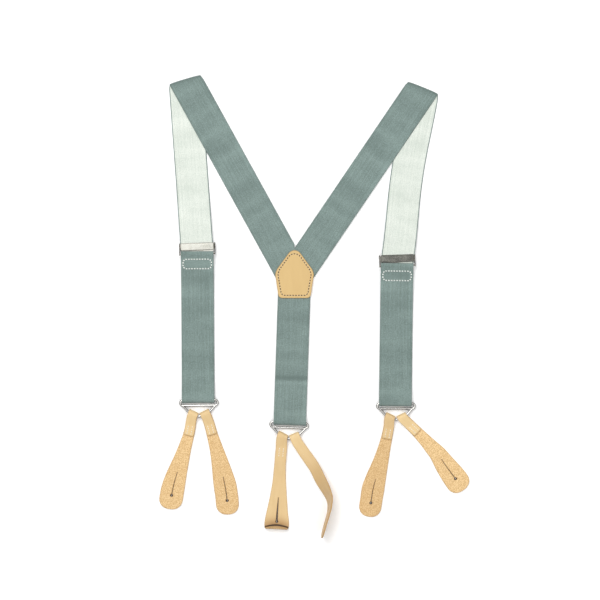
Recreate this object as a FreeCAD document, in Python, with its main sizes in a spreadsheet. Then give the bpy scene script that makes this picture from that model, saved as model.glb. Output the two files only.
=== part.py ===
"""Button suspenders with a Y back, laid flat on their back: a parametric model in millimetres.

The frame: +Y runs from the leather tabs up to the shoulder folds, +X to the right and +Z away from the table.
The origin is the middle of the underside. Elastic webbing joins at a leather yoke patch, folds over at each
shoulder, runs down through a lever adjuster, round a wire ring and back up to the adjuster's bar. A third
strap runs down the back. Each of the three rings carries two leather tabs with a buttonhole.
"""
import FreeCAD, Part
import math
import os

import Sketcher
from FreeCAD import Placement, Rotation, Vector

DOCUMENT = FreeCAD.newDocument("suspenders")
UP = Vector(0, 0, 1)
SUBPARTS = []

# Driving dimensions: alias, value in millimetres or degrees, what it is.
SIZES = [
    ("webbing_width", 35.0, "width of the elastic webbing"),
    ("webbing_thick", 1.2, "thickness of the elastic webbing"),
    ("layer_gap", 0.1, "room between two layers of one strap"),
    ("strap_level", 1.3, "underside of the shoulder straps above the table"),
    ("front_level", 3.1, "underside of the front straps inside the adjusters"),
    ("front_rest", 0.0, "underside of the front straps under the shoulder straps"),
    ("patch_leather", 1.25, "thickness of the yoke patch leather"),
    ("patch_half_width", 20.8, "half width of the patch at its shoulders"),
    ("patch_foot", 17.0, "half width of the patch at its foot"),
    ("patch_tall", 52.0, "height of the patch"),
    ("patch_shoulder", 25.5, "height of the patch shoulders above its foot"),
    ("tab_leather", 1.7, "thickness of the tab leather"),
    ("tab_neck", 11.0, "width of a tab where it folds over its ring"),
    ("tab_wide", 24.4, "greatest width of a tab"),
    ("tail_length", 24.0, "length of the folded and sewn tail of a tab"),
    ("hole_diameter", 3.0, "round end of a buttonhole"),
    ("hole_from_tip", 15.0, "middle of the round hole to the tip of the tab"),
    ("slit_length", 26.0, "length of the buttonhole slit"),
    ("slit_width", 0.7, "width of the buttonhole slit"),
    ("wire_diameter", 2.3, "ring wire"),
    ("wire_level", 3.2, "middle of the ring wire above the table"),
    ("wrap_room", 0.7, "room between the wire and the webbing round it"),
    ("fold_room", 0.35, "room between the wire and the leather round it"),
    ("fold_shift", 0.55, "middle of a tab's fold outside the middle of its ring arm"),
    ("ring_ear", 2.8, "radius of the rounded ends of the ring's slot"),
    ("ring_half", 17.3, "middle of the ring to the middle of an ear"),
    ("ring_elbow_x", 12.0, "elbow of the ring's arm, sideways"),
    ("ring_elbow_y", 11.8, "elbow of the ring's arm, below the upper bar"),
    ("ring_apex", 17.5, "apex of the ring below the upper bar"),
    ("plate_height", 8.0, "height of the adjuster's back plate"),
    ("plate_thick", 0.8, "thickness of the adjuster's plates"),
    ("plate_level", 4.6, "underside of the back plate above the table"),
    ("cheek_gap", 36.6, "room between the adjuster's cheeks"),
    ("cheek_thick", 1.1, "thickness of a cheek"),
    ("cheek_floor", 0.4, "foot of a cheek above the table"),
    ("bar_level", 6.0, "middle of the adjuster's lower bar above the table"),
    ("bar_drop", 7.8, "middle of the lower bar below the middle of the plate"),
    ("bar_deep", 1.4, "depth of the flat lower bar along the strap"),
    ("lever_reach", 13.0, "length of the lever's plate from its pin"),
    ("lever_width", 33.6, "width of the lever"),
    ("pin_level", 1.95, "middle of the pivot pin above the table"),
    ("pin_diameter", 1.0, "pivot pin"),
    ("knuckle_diameter", 2.0, "knuckle of the lever round its pin"),
    ("tooth_pitch", 2.6, "pitch of the lever's teeth"),
    ("stitch_long", 2.0, "length of one stitch"),
    ("stitch_thick", 0.8, "width of the sewing thread"),
    ("stitch_pitch", 3.1, "pitch of the stitching"),
    ("fold_axis_level", 1.25, "middle of a shoulder fold above the table"),
    ("split_line", -20.9, "line of the yoke where the straps meet, in X"),
    ("patch_foot_y", 9.5, "foot of the patch, in Y"),
    ("strap_end_y", 26.5, "lower ends of the shoulder straps, in Y"),
]

sheet = DOCUMENT.addObject("Spreadsheet::Sheet", "sizes")
for row, (alias, value, meaning) in enumerate(SIZES, start=1):
    sheet.set(f"A{row}", alias)
    sheet.set(f"B{row}", f"{value:g}")
    sheet.set(f"C{row}", meaning)
    sheet.setAlias(f"B{row}", alias)
DOCUMENT.recompute()


def size(alias):
    """The value of one cell of the sheet."""
    return float(sheet.get(alias))


# Where things lie: point in X and Y, and the angle of the piece in degrees.
FOLDS = {
    "left": {"middle": (-138.4, 244.2), "line": 16.5, "yoke_end": (-24.5, 37.5)},
    "right": {"middle": (116.9, 235.4), "line": -22.0, "yoke_end": (-15.0, 41.0)},
}
ADJUSTERS = {
    "left": {"middle": (-125.3, 64.8), "turn": 2.1},
    "right": {"middle": (89.2, 52.1), "turn": 2.0},
}
RINGS = {
    "left": {"middle": (-123.6, -100.0), "turn": 1.0},
    "right": {"middle": (87.9, -103.5), "turn": 0.3},
    "back": {"middle": (-26.6, -123.9), "turn": -2.6},
}
# Lower ends of the straps, where they turn round the upper bar of their ring.
STRAP_ENDS = {"left": (-124.3, -100.0), "right": (87.3, -103.5), "back": (-26.0, -123.9)}
# Each tab: its ring, its arm (-1 left, 1 right), how far it leans from straight down, and its reach.
TABS = {
    "left_outer": {"ring": "left", "arm": -1, "lean": -14.9, "reach": 105.5},
    "left_inner": {"ring": "left", "arm": 1, "lean": 13.5, "reach": 111.0},
    "right_inner": {"ring": "right", "arm": -1, "lean": -14.2, "reach": 110.0},
    "right_outer": {"ring": "right", "arm": 1, "lean": 38.8, "reach": 102.0},
    "back_left": {"ring": "back", "arm": -1, "lean": -3.6, "reach": 100.5},
}
# Middle line of the tab that turns onto its edge: X, Y, height of the middle, twist from flat in degrees.
TWISTED_LINE = [
    (-21.0, -140.5, 5.3, 0),
    (-12.9, -152.7, 3.2, 0),
    (-5.4, -163.4, 3.2, 4),
    (1.1, -173.1, 5.0, 14),
    (7.5, -186.0, 8.0, 30),
    (12.9, -195.7, 11.0, 48),
    (16.1, -203.2, 12.8, 64),
    (16.8, -210.7, 13.6, 78),
    (15.6, -219.3, 13.8, 86),
    (12.9, -229.0, 13.8, 88),
    (10.2, -238.7, 13.8, 88),
    (8.1, -246.6, 13.8, 88),
]
# Slices of that line between which its buttonhole slit runs.
SLIT_SLICES = (7, 10)


# ---------------------------------------------------------------- outlines and paths


def rounded_corners(corners, closed):
    """Straight runs joined by tangent arcs, from (x, y, radius) corners: a list of lines and arcs in order.

    Each run is ("line", start, end) and each arc is ("arc", start, end, centre, radius, turn).
    """
    count = len(corners)
    points = [Vector(x, y, 0) for x, y, _ in corners]
    trims = []
    for i, (_, _, radius) in enumerate(corners):
        inner = closed or 0 < i < count - 1
        if not inner or radius == 0:
            trims.append(None)
            continue
        back = (points[i - 1] - points[i]).normalize()
        ahead = (points[(i + 1) % count] - points[i]).normalize()
        turn = math.pi - back.getAngle(ahead)
        reach = radius * math.tan(turn / 2)
        side = 1 if (back * -1).cross(ahead).z > 0 else -1
        start = points[i] + back * reach
        end = points[i] + ahead * reach
        heading = back * -1
        centre = start + Vector(-heading.y, heading.x, 0) * (radius * side)
        trims.append((start, end, centre, radius, side))
    pieces = []
    for i in range(count if closed else count - 1):
        follow = (i + 1) % count
        start = trims[i][1] if trims[i] else points[i]
        end = trims[follow][0] if trims[follow] else points[follow]
        if (end - start).Length > 1e-6:
            pieces.append(("line", start, end))
        if trims[follow] and (closed or follow < count - 1):
            pieces.append(("arc",) + trims[follow])
    return pieces


def piece_geometry(piece):
    """One line or arc of an outline as sketch geometry."""
    if piece[0] == "line":
        return Part.LineSegment(piece[1], piece[2])
    _, start, end, centre, radius, side = piece
    first, last = (start, end) if side > 0 else (end, start)
    angles = [math.atan2((p - centre).y, (p - centre).x) for p in (first, last)]
    return Part.ArcOfCircle(Part.Circle(centre, UP, radius), angles[0], angles[1])


def outline_geometry(corners):
    """A closed outline with rounded corners as sketch geometry."""
    return [piece_geometry(p) for p in rounded_corners(corners, True)]


def band_geometry(corners, thickness):
    """The closed outline of a strip of even thickness whose middle runs along a path with rounded corners."""
    sides = {1: [], -1: []}
    for piece in rounded_corners(corners, False):
        for hand, runs in sides.items():
            if piece[0] == "line":
                heading = (piece[2] - piece[1]).normalize()
                shift = Vector(-heading.y, heading.x, 0) * (hand * thickness / 2)
                runs.append(("line", piece[1] + shift, piece[2] + shift))
                continue
            _, start, end, centre, radius, turn = piece
            new_radius = radius - hand * turn * thickness / 2
            scale = new_radius / radius
            moved = [centre + (p - centre) * scale for p in (start, end)]
            runs.append(("arc", moved[0], moved[1], centre, new_radius, turn))
    left, right = sides[1], sides[-1]
    caps = [("line", left[-1][2], right[-1][2]), ("line", right[0][1], left[0][1])]
    return [piece_geometry(p) for p in left + [caps[0]] + right + [caps[1]]]


def circle_geometry(x, y, diameter):
    """A circle as sketch geometry."""
    return Part.Circle(Vector(x, y, 0), UP, diameter / 2)


# ---------------------------------------------------------------- building blocks


def add_sketch(name, geometry, placement):
    """A free sketch at a placement."""
    sketch = DOCUMENT.addObject("Sketcher::SketchObject", name)
    for item in geometry:
        sketch.addGeometry(item, False)
    sketch.Placement = placement
    return sketch


def add_prism(name, geometry, placement, length, symmetric=False):
    """A sketch pushed out along its own normal by a length given as a formula of the sheet's cells."""
    sketch = add_sketch(name + "_sketch", geometry, placement)
    prism = DOCUMENT.addObject("Part::Extrusion", name)
    prism.Base = sketch
    prism.DirMode = "Normal"
    prism.Solid = True
    prism.Symmetric = symmetric
    prism.setExpression("LengthFwd", length)
    return prism


def add_boolean(kind, name, shapes):
    """A fuse, cut or common of document objects."""
    result = DOCUMENT.addObject(f"Part::{kind}", name)
    if kind in ("MultiFuse", "MultiCommon"):
        result.Shapes = shapes
    else:
        result.Base, result.Tool = shapes
    return result


def side_view(placement):
    """The placement of a sketch seen from the side: across is the strap's own Y and up is Z."""
    return placement * Placement(Vector(), Rotation(Vector(0, 1, 0), UP, Vector(1, 0, 0), "XYZ"))


def at(point, turn=0.0, level=0.0):
    """A placement at a point of the table, turned about Z and raised."""
    return Placement(Vector(point[0], point[1], level), Rotation(UP, turn))


def add_body(name, placement):
    """A part design body with a placement of its own."""
    body = DOCUMENT.addObject("PartDesign::Body", name)
    body.Label = name
    body.Placement = placement
    return body


def body_sketch(body, name, role, geometry, offset=None):
    """A sketch on one of the body's own origin planes."""
    sketch = body.newObject("Sketcher::SketchObject", name)
    plane = next(f for f in body.Origin.OriginFeatures if f.Role == role)
    sketch.AttachmentSupport = (plane, [""])
    sketch.MapMode = "FlatFace"
    if offset is not None:
        sketch.AttachmentOffset = Placement(offset, Rotation())
    for item in geometry:
        sketch.addGeometry(item, False)
    return sketch


def body_pad(body, name, sketch, length, symmetric=False):
    """A pad whose length is a formula of the sheet's cells."""
    pad = body.newObject("PartDesign::Pad", name)
    pad.Profile = sketch
    if symmetric:
        pad.SideType = "Symmetric"
    pad.setExpression("Length", length)
    return pad


def keep(thing, name):
    """Counts an object among the sub-parts that are written out."""
    thing.Label = name
    SUBPARTS.append((name, thing))
    return thing


def stitch_row(name, places, level_of):
    """Short half-round stitches lying on a surface, one separate solid each.

    places is a list of (point, heading) and level_of gives a placement from a point and heading.
    """
    long, thick = size("stitch_long"), size("stitch_thick")
    ends = (long - thick) / 2
    solids = []
    for point, heading in places:
        solid = Part.makeCylinder(thick / 2, 2 * ends, Vector(-ends, 0, 0), Vector(1, 0, 0))
        upper = Part.makeBox(long, thick, thick, Vector(-long / 2, -thick / 2, 0))
        half = solid.common(upper)
        half.Placement = level_of(point, heading)
        solids.append(half)
    row = DOCUMENT.addObject("Part::Feature", name)
    row.Shape = Part.makeCompound(solids)
    return keep(row, name)


def along(wire, pitch):
    """Points and headings spaced evenly along a wire."""
    count = max(2, round(wire.Length / pitch))
    closed = wire.isClosed()
    places = []
    for i in range(count):
        share = (i + 0.5) / count if closed else i / (count - 1)
        travelled = share * wire.Length
        for edge in wire.OrderedEdges:
            if travelled <= edge.Length + 1e-9:
                parameter = edge.getParameterByLength(min(travelled, edge.Length))
                if edge.Orientation == "Reversed":
                    parameter = edge.getParameterByLength(max(edge.Length - travelled, 0.0))
                tangent = edge.tangentAt(parameter)
                places.append((edge.valueAt(parameter), math.degrees(math.atan2(tangent.y, tangent.x))))
                break
            travelled -= edge.Length
    return places


def outline_wire(corners, closed=True):
    """A wire with rounded corners, for stitching to follow."""
    edges = [piece_geometry(p).toShape() for p in rounded_corners(corners, closed)]
    return Part.Wire(Part.__sortEdges__(edges))


# ---------------------------------------------------------------- yoke


def patch_corners(inset=0.0):
    """The patch outline about its foot: foot corners, shoulders and a rounded apex."""
    half, foot = size("patch_half_width") - inset, size("patch_foot") - inset
    tall, shoulder = size("patch_tall") - 1.2 * inset, size("patch_shoulder")
    return [
        (-foot, inset, 3.5),
        (foot, inset, 3.5),
        (half, shoulder, 2.5),
        (half - 1.5, shoulder + 5.0, 3.0),
        (0.0, tall + 2.6, 8.0),
        (-half + 1.5, shoulder + 5.0, 3.0),
        (-half, shoulder, 2.5),
    ]


def build_patch():
    """Front and backing leather of the yoke, with the stitched row that holds them together."""
    foot = (size("split_line"), size("patch_foot_y"))
    strap_top = size("strap_level") + size("webbing_thick")
    front_level = strap_top + size("layer_gap")
    for name, level in (("yoke_patch_front", front_level), ("yoke_patch_backing", 0.0)):
        body = add_body(name, at(foot, 0, level))
        sketch = body_sketch(body, name + "_outline", "XY_Plane", outline_geometry(patch_corners()))
        body_pad(body, name + "_pad", sketch, "sizes.patch_leather")
        keep(body, name)
    row = outline_wire(patch_corners(3.0))
    top = front_level + size("patch_leather")
    base = Vector(foot[0], foot[1], top)
    stitch_row(
        "yoke_patch_stitching",
        along(row, size("stitch_pitch")),
        lambda point, heading: Placement(base + point, Rotation(UP, heading)),
    )


def unit(angle):
    """The direction at an angle from +X."""
    return Vector(math.cos(math.radians(angle)), math.sin(math.radians(angle)), 0)


def crossing(point, heading, axis, value):
    """Where a line from a point reaches a value of X (axis 0) or Y (axis 1)."""
    share = (value - point[axis]) / heading[axis]
    return point + heading * share


def fold_ends(side):
    """The two ends of a shoulder fold line, from the webbing's width and the angle of the fold."""
    fold = FOLDS[side]
    middle = Vector(*fold["middle"], 0)
    heading = (Vector(*fold["yoke_end"], 0) - middle).normalize()
    line = unit(fold["line"])
    half = size("webbing_width") / 2 / abs(line.cross(heading).z)
    return middle - line * half, middle + line * half, heading


def build_shoulder_strap(side):
    """Shoulder strap from the yoke patch up to the fold, cut square where the two straps meet."""
    near, far, heading = fold_ends(side)
    inner, outer = (far, near) if side == "left" else (near, far)
    gap = 0.05 if side == "right" else -0.05
    meet = crossing(inner, heading, 0, size("split_line") + gap)
    foot = crossing(outer, heading, 1, size("strap_end_y"))
    corners = [outer, inner, meet, Vector(meet.x, size("strap_end_y"), 0), foot]
    body = add_body(f"shoulder_strap_{side}", at((0, 0), 0, size("strap_level")))
    geometry = outline_geometry([(p.x, p.y, 0) for p in corners])
    sketch = body_sketch(body, f"shoulder_outline_{side}", "XY_Plane", geometry)
    body_pad(body, f"shoulder_pad_{side}", sketch, "sizes.webbing_thick")
    keep(body, f"shoulder_strap_{side}")


def build_shoulder_fold(side):
    """The bend of webbing at the shoulder, half a turn about the fold line."""
    near, far, _ = fold_ends(side)
    fold = FOLDS[side]
    level = size("fold_axis_level")
    middle_radius = level - size("front_rest") - size("webbing_thick") / 2
    bend = [
        (0.0, level - middle_radius, 0),
        (middle_radius, level - middle_radius, middle_radius),
        (middle_radius, level + middle_radius, middle_radius),
        (0.0, level + middle_radius, 0),
    ]
    prism = add_prism(
        f"shoulder_fold_{side}",
        band_geometry(bend, size("webbing_thick")),
        side_view(at(fold["middle"], fold["line"])),
        f"{(far - near).Length:.6f} * 1",
        True,
    )
    keep(prism, f"shoulder_fold_{side}")


# ---------------------------------------------------------------- front straps


def build_front_strap(side):
    """Front strap: from under the shoulder strap at the fold it rises to pass through the adjuster."""
    near, far, _ = fold_ends(side)
    fold = Vector(*FOLDS[side]["middle"], 0)
    adjuster = at(ADJUSTERS[side]["middle"], ADJUSTERS[side]["turn"])
    run = adjuster.Base - fold
    placement = at((fold.x, fold.y), math.degrees(math.atan2(run.y, run.x)) + 90)
    thick = size("webbing_thick")
    low, high = size("front_rest") + thick / 2, size("front_level") + thick / 2
    half_plate = size("plate_height") / 2
    half = size("webbing_width") / 2
    route = [(12.0, low, 0), (-(run.Length - 75.0), low, 150), (-(run.Length - 14.0), high, 60)]
    route.append((-(run.Length + half_plate + 6.0), high, 0))
    # the sides turn a little inside the adjuster, so that the strap leaves it square
    inside = [adjuster.multVec(Vector(x, y, 0)) for x, y in ((half, 6.0), (half, -half_plate))]
    inside += [adjuster.multVec(Vector(-half, y, 0)) for y in (-half_plate, 6.0)]
    plan = [(p.x, p.y, 0) for p in [near, far] + inside]
    name = f"front_strap_{side}"
    strip = add_prism(
        name + "_strip",
        band_geometry(route, thick),
        side_view(placement),
        "sizes.webbing_width * 1.2",
        True,
    )
    trim = add_prism(name + "_plan", outline_geometry(plan), at((0, 0)), "40", True)
    keep(add_boolean("MultiCommon", name, [strip, trim]), name)


def strap_frame(side):
    """Placement of the doubled strap below an adjuster, and how far down its ring's bar is."""
    top = Vector(*ADJUSTERS[side]["middle"], 0)
    end = Vector(*STRAP_ENDS[side], 0)
    run = end - top
    turn = math.degrees(math.atan2(run.y, run.x)) + 90
    return at((top.x, top.y), turn), run.Length


def wrap_levels():
    """Levels of the two layers of webbing at a ring, and the radius of the turn between them."""
    radius = size("wire_diameter") / 2 + size("wrap_room") + size("webbing_thick") / 2
    return size("wire_level") - radius, size("wire_level") + radius, radius


def build_doubled_strap(side):
    """The strap below the adjuster: down behind, round the ring, back up, and its sewn end on the bar."""
    placement, drop = strap_frame(side)
    low, high, radius = wrap_levels()
    thick = size("webbing_thick")
    start = -size("plate_height") / 2 - 1.2
    entry = size("front_level") + thick / 2
    ring_top = -(drop - 9.0)
    sewn_foot = -26.0
    sewn_low, sewn_high = 3.4, 3.4 + thick + size("layer_gap")
    resting = low + thick + 4 * size("layer_gap")
    turn = size("bar_level") - 1.1, size("bar_level") + 1.1
    turn_end = -size("bar_drop") + 2.25
    routes = {
        "passing_strap": [(start, entry, 0), (-40.0, low, 60), (ring_top, low, 0)],
        "ring_turn": [
            (ring_top, high, 0),
            (-(drop + radius), high, radius),
            (-(drop + radius), low, radius),
            (ring_top, low, 0),
        ],
        "return_strap": [
            (sewn_foot - 0.4, sewn_high, 0),
            (-52.0, resting, 40),
            (ring_top + 24.0, resting, 40),
            (ring_top + 4.0, high, 12),
            (ring_top, high, 0),
        ],
        "sewn_end": [
            (sewn_foot, sewn_low, 0),
            (-11.5, 4.75, 15),
            (turn_end, turn[0], 1.1),
            (turn_end, turn[1], 1.1),
            (-8.7, turn[1], 2.5),
            (-13.5, 5.95, 6),
            (sewn_foot, sewn_high, 0),
        ],
    }
    for name, route in routes.items():
        label = f"{name}_{side}"
        prism = add_prism(
            label, band_geometry(route, thick), side_view(placement), "sizes.webbing_width", True
        )
        keep(prism, label)
    build_box_stitching(side, placement, sewn_high)


def build_box_stitching(side, placement, foot_level):
    """The rectangle of stitches with cut corners that closes the strap's end round the bar."""
    half_wide, half_tall, cut = 15.0, 5.0, 2.2
    middle = Vector(0, -18.6, 0)
    slope = math.degrees(math.atan2(5.95 - foot_level, 12.5))
    corners = [
        (-half_wide + cut, -half_tall, 0),
        (half_wide - cut, -half_tall, 0),
        (half_wide, -half_tall + cut, 0),
        (half_wide, half_tall - cut, 0),
        (half_wide - cut, half_tall, 0),
        (-half_wide + cut, half_tall, 0),
        (-half_wide, half_tall - cut, 0),
        (-half_wide, -half_tall + cut, 0),
    ]
    rise = math.tan(math.radians(slope)) * (middle.y + 26.0)
    middle.z = foot_level + rise + size("webbing_thick") / 2 / math.cos(math.radians(slope)) + 0.02
    surface = placement * Placement(middle, Rotation(Vector(1, 0, 0), slope))
    stitch_row(
        f"box_stitching_{side}",
        along(outline_wire(corners), size("stitch_pitch")),
        lambda point, heading: surface * Placement(point, Rotation(UP, heading)),
    )


# ---------------------------------------------------------------- adjusters


def rectangle(left, bottom, right, top, radius=0.0):
    """The corners of a rectangle, all with one radius."""
    return [(left, bottom, radius), (right, bottom, radius), (right, top, radius), (left, top, radius)]


def build_adjuster(side):
    """Slide frame with its back plate, cheeks and lower bar, its toothed lever and its pivot pin."""
    place = at(ADJUSTERS[side]["middle"], ADJUSTERS[side]["turn"])
    half_gap = size("cheek_gap") / 2
    outer = half_gap + size("cheek_thick")
    half_plate = size("plate_height") / 2
    bar_y = -size("bar_drop")
    bar_half = size("plate_thick") / 2

    name = f"adjuster_frame_{side}"
    body = add_body(name, place)
    plate = rectangle(-outer, -half_plate, outer, half_plate, 1.2)
    level = Vector(0, 0, size("plate_level"))
    sketch = body_sketch(body, name + "_plate", "XY_Plane", outline_geometry(plate), level)
    body_pad(body, name + "_plate_pad", sketch, "sizes.plate_thick")
    cheek = [
        (-half_plate, size("cheek_floor"), 1.0),
        (half_plate, size("cheek_floor"), 1.0),
        (half_plate, size("plate_level") + bar_half, 0.3),
        (-half_plate, size("plate_level") + bar_half, 0.0),
        (bar_y + 1.2, size("bar_level") + 1.0, 0.8),
        (bar_y - 1.4, size("bar_level") + 1.0, 0.8),
        (bar_y - 1.4, size("bar_level") - 1.2, 0.8),
        (-half_plate, 3.0, 1.5),
    ]
    for hand, middle in (("left", -half_gap), ("right", half_gap)):
        # the side plane's own offset runs along the strap's width
        reach = -size("cheek_thick") if hand == "left" else 0.0
        sketch = body_sketch(
            body, f"{name}_cheek_{hand}", "YZ_Plane", outline_geometry(cheek), Vector(0, 0, middle + reach)
        )
        body_pad(body, f"{name}_cheek_{hand}_pad", sketch, "sizes.cheek_thick")
    bar = rectangle(
        bar_y - size("bar_deep") / 2,
        size("bar_level") - bar_half,
        bar_y + size("bar_deep") / 2,
        size("bar_level") + bar_half,
        0.3,
    )
    sketch = body_sketch(body, name + "_bar", "YZ_Plane", outline_geometry(bar))
    body_pad(body, name + "_bar_pad", sketch, "sizes.cheek_gap + 2 * sizes.cheek_thick - 0.4", True)
    # room for the pivot pin in both cheeks
    pin_hole = body_sketch(
        body, name + "_pin_hole", "YZ_Plane", [circle_geometry(1.6, size("pin_level"), size("pin_diameter") + 0.1)]
    )
    pocket = body.newObject("PartDesign::Pocket", name + "_pin_pocket")
    pocket.Profile = pin_hole
    pocket.Type = "ThroughAll"
    pocket.SideType = "Symmetric"
    keep(body, name)

    name = f"adjuster_lever_{side}"
    body = add_body(name, place)
    knuckle = [circle_geometry(1.6, size("pin_level"), size("knuckle_diameter"))]
    sketch = body_sketch(body, name + "_knuckle", "YZ_Plane", knuckle)
    body_pad(body, name + "_knuckle_pad", sketch, "sizes.lever_width", True)
    plate_low = size("pin_level") - size("knuckle_diameter") / 2
    plate_side = rectangle(
        1.6 - size("lever_reach"), plate_low, 1.6, plate_low + size("plate_thick"), 0.0
    )
    sketch = body_sketch(body, name + "_plate", "YZ_Plane", outline_geometry(plate_side))
    body_pad(body, name + "_plate_pad", sketch, "sizes.lever_width", True)
    tooth = [(-0.4, plate_low + 0.3, 0), (1.0, plate_low + 0.3, 0), (0.6, size("front_level") - 0.12, 0)]
    first = -size("lever_width") / 2 + 1.2
    sketch = body_sketch(body, name + "_tooth", "YZ_Plane", outline_geometry(tooth), Vector(0, 0, first))
    tooth_pad = body_pad(body, name + "_tooth_pad", sketch, "sizes.tooth_pitch / 2")
    DOCUMENT.recompute()
    pattern = body.newObject("PartDesign::LinearPattern", name + "_teeth")
    pattern.Originals = [tooth_pad]
    axis = next(f for f in body.Origin.OriginFeatures if f.Role == "X_Axis")
    pattern.Direction = (axis, [""])
    pattern.Occurrences = 12
    pattern.setExpression("Length", "sizes.tooth_pitch * 11")
    body.Tip = pattern
    bore = body_sketch(
        body, name + "_bore", "YZ_Plane", [circle_geometry(1.6, size("pin_level"), size("pin_diameter") + 0.2)]
    )
    pocket = body.newObject("PartDesign::Pocket", name + "_bore_pocket")
    pocket.Profile = bore
    pocket.Type = "ThroughAll"
    pocket.SideType = "Symmetric"
    keep(body, name)

    name = f"adjuster_pin_{side}"
    pin = DOCUMENT.addObject("Part::Cylinder", name)
    pin.setExpression("Radius", "sizes.pin_diameter / 2")
    pin.setExpression("Height", "sizes.cheek_gap + 2 * sizes.cheek_thick")
    start = Placement(Vector(-outer, 1.6, size("pin_level")), Rotation(Vector(0, 1, 0), 90))
    pin.Placement = place * start
    keep(pin, name)


# ---------------------------------------------------------------- back strap


def build_back_strap():
    """Back strap from under the yoke patch down round the back ring, with its short sewn tail beneath."""
    top = Vector(size("split_line"), size("strap_end_y") - 1.3, 0)
    end = Vector(*STRAP_ENDS["back"], 0)
    run = end - top
    placement = at((top.x, top.y), math.degrees(math.atan2(run.y, run.x)) + 90)
    low, high, radius = wrap_levels()
    drop = run.Length
    thick = size("webbing_thick")
    middle = size("strap_level") + thick / 2
    sewn = low + thick + size("layer_gap")
    route = [
        (0.0, middle, 0),
        (-30.0, middle, 80),
        (-(drop - 24.0), sewn, 40),
        (-(drop - 11.5), sewn, 8),
        (-(drop - 2.0), high, 5),
        (-(drop + radius), high, radius),
        (-(drop + radius), low, radius),
        (-(drop - 20.0), low, 0),
    ]
    prism = add_prism(
        "back_strap", band_geometry(route, thick), side_view(placement), "sizes.webbing_width", True
    )
    keep(prism, "back_strap")
    row = outline_wire([(-15.5, 0, 0), (15.5, 0, 0)], False)
    surface = placement * Placement(Vector(0, -(drop - 14.5), sewn + thick / 2), Rotation())
    stitch_row(
        "back_strap_stitching",
        along(row, size("stitch_pitch")),
        lambda point, heading: surface * Placement(point, Rotation(UP, heading)),
    )


# ---------------------------------------------------------------- rings


def swept_wire(corners, closed, start, heading):
    """A round wire swept along a path of straight runs and arcs, which starts at a point with a heading."""
    path = outline_wire(corners, closed)
    ring = Part.makeCircle(size("wire_diameter") / 2, start, heading)
    profile = Part.Wire([ring])
    return path.makePipeShell([profile], True, False)


def build_ring(side):
    """Wire ring: a long slot for the webbing with rounded ears, and a V below it for the two tabs."""
    half, ear = size("ring_half"), size("ring_ear")
    elbow_x, elbow_y, apex = size("ring_elbow_x"), size("ring_elbow_y"), size("ring_apex")
    reach = half + ear
    # the two halves of the slot meet in the middle of its bars
    slot = [(0, 0, 0), (reach, 0, ear), (reach, -2 * ear, ear), (0, -2 * ear, 0)]
    right_slot = swept_wire(slot, False, Vector(), Vector(1, 0, 0))
    foot = half + 0.3
    arm = [(foot, -2 * ear, 0), (elbow_x, -elbow_y, 4.0), (0, -apex, 0)]
    first = (Vector(elbow_x, -elbow_y, 0) - Vector(foot, -2 * ear, 0)).normalize()
    right_arm = swept_wire(arm, False, Vector(foot, -2 * ear, 0), first)
    ball = Part.makeSphere(size("wire_diameter") / 2, Vector(0, -apex, 0))
    weld = Part.makeSphere(size("wire_diameter") / 2, Vector(foot, -2 * ear, 0))
    halves = [right_slot, right_arm, weld]
    mirrored = [piece.mirror(Vector(), Vector(1, 0, 0)) for piece in halves]
    whole = halves[0].multiFuse(halves[1:] + mirrored + [ball]).removeSplitter()
    ring = DOCUMENT.addObject("Part::Feature", f"ring_{side}")
    ring.Shape = whole.Solids[0] if len(whole.Solids) == 1 else whole
    ring.Placement = at(RINGS[side]["middle"], RINGS[side]["turn"], size("wire_level"))
    keep(ring, f"ring_{side}")


def arm_frame(side, arm):
    """Placement where a tab folds over its ring's arm: X along the arm, Y towards the slot."""
    elbow = Vector(size("ring_elbow_x") * arm, -size("ring_elbow_y"), 0)
    apex = Vector(0, -size("ring_apex"), 0)
    along_arm = (elbow - apex) * arm
    turn = math.degrees(math.atan2(along_arm.y, along_arm.x))
    middle = (elbow + apex) * 0.5 + along_arm.normalize() * (arm * size("fold_shift"))
    return at(RINGS[side]["middle"], RINGS[side]["turn"]) * Placement(middle, Rotation(UP, turn))


# ---------------------------------------------------------------- leather tabs


def tab_outline(reach, lean):
    """The plan of a tab in the frame of its ring arm, leaning by an angle from straight across the arm."""
    neck, wide = size("tab_neck") / 2, size("tab_wide") / 2
    plan = [
        (-neck, -6.0, 20),
        (-neck, -24.0, 90),
        (-wide, -(reach - 16.0), 26),
        (-wide * 0.86, -reach, 9.5),
        (wide * 0.86, -reach, 9.5),
        (wide, -(reach - 16.0), 26),
        (neck, -24.0, 90),
        (neck, -6.0, 20),
    ]
    turn = Rotation(UP, lean)
    turned = []
    for x, y, radius in plan:
        point = turn.multVec(Vector(x, y, 0))
        turned.append((point.x, point.y, radius))
    return [(-neck, 0.5, 0)] + turned + [(neck, 0.5, 0)]


def buttonhole(name, placement, reach, length="2 * sizes.tab_leather"):
    """The slit and the round hole at its end as one cutting tool."""
    hole_y = -(reach - size("hole_from_tip"))
    half = size("slit_width") / 2
    slit = add_prism(
        name + "_slit",
        outline_geometry(rectangle(-half, hole_y, half, hole_y + size("slit_length"))),
        placement,
        length,
        True,
    )
    hole = add_prism(
        name + "_hole", [circle_geometry(0, hole_y, size("hole_diameter"))], placement, length, True
    )
    return add_boolean("MultiFuse", name, [slit, hole])


def fold_turn(name, frame):
    """The bend of a tab round its ring arm, which both layers of the tab run out of."""
    thick = size("tab_leather")
    radius = size("wire_diameter") / 2 + size("fold_room") + thick / 2
    level = size("wire_level")
    bend = [
        (-0.3, level - radius, 0),
        (radius, level - radius, radius),
        (radius, level + radius, radius),
        (-0.3, level + radius, 0),
    ]
    return add_prism(name, band_geometry(bend, thick), side_view(frame), "sizes.tab_neck", True)


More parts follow.
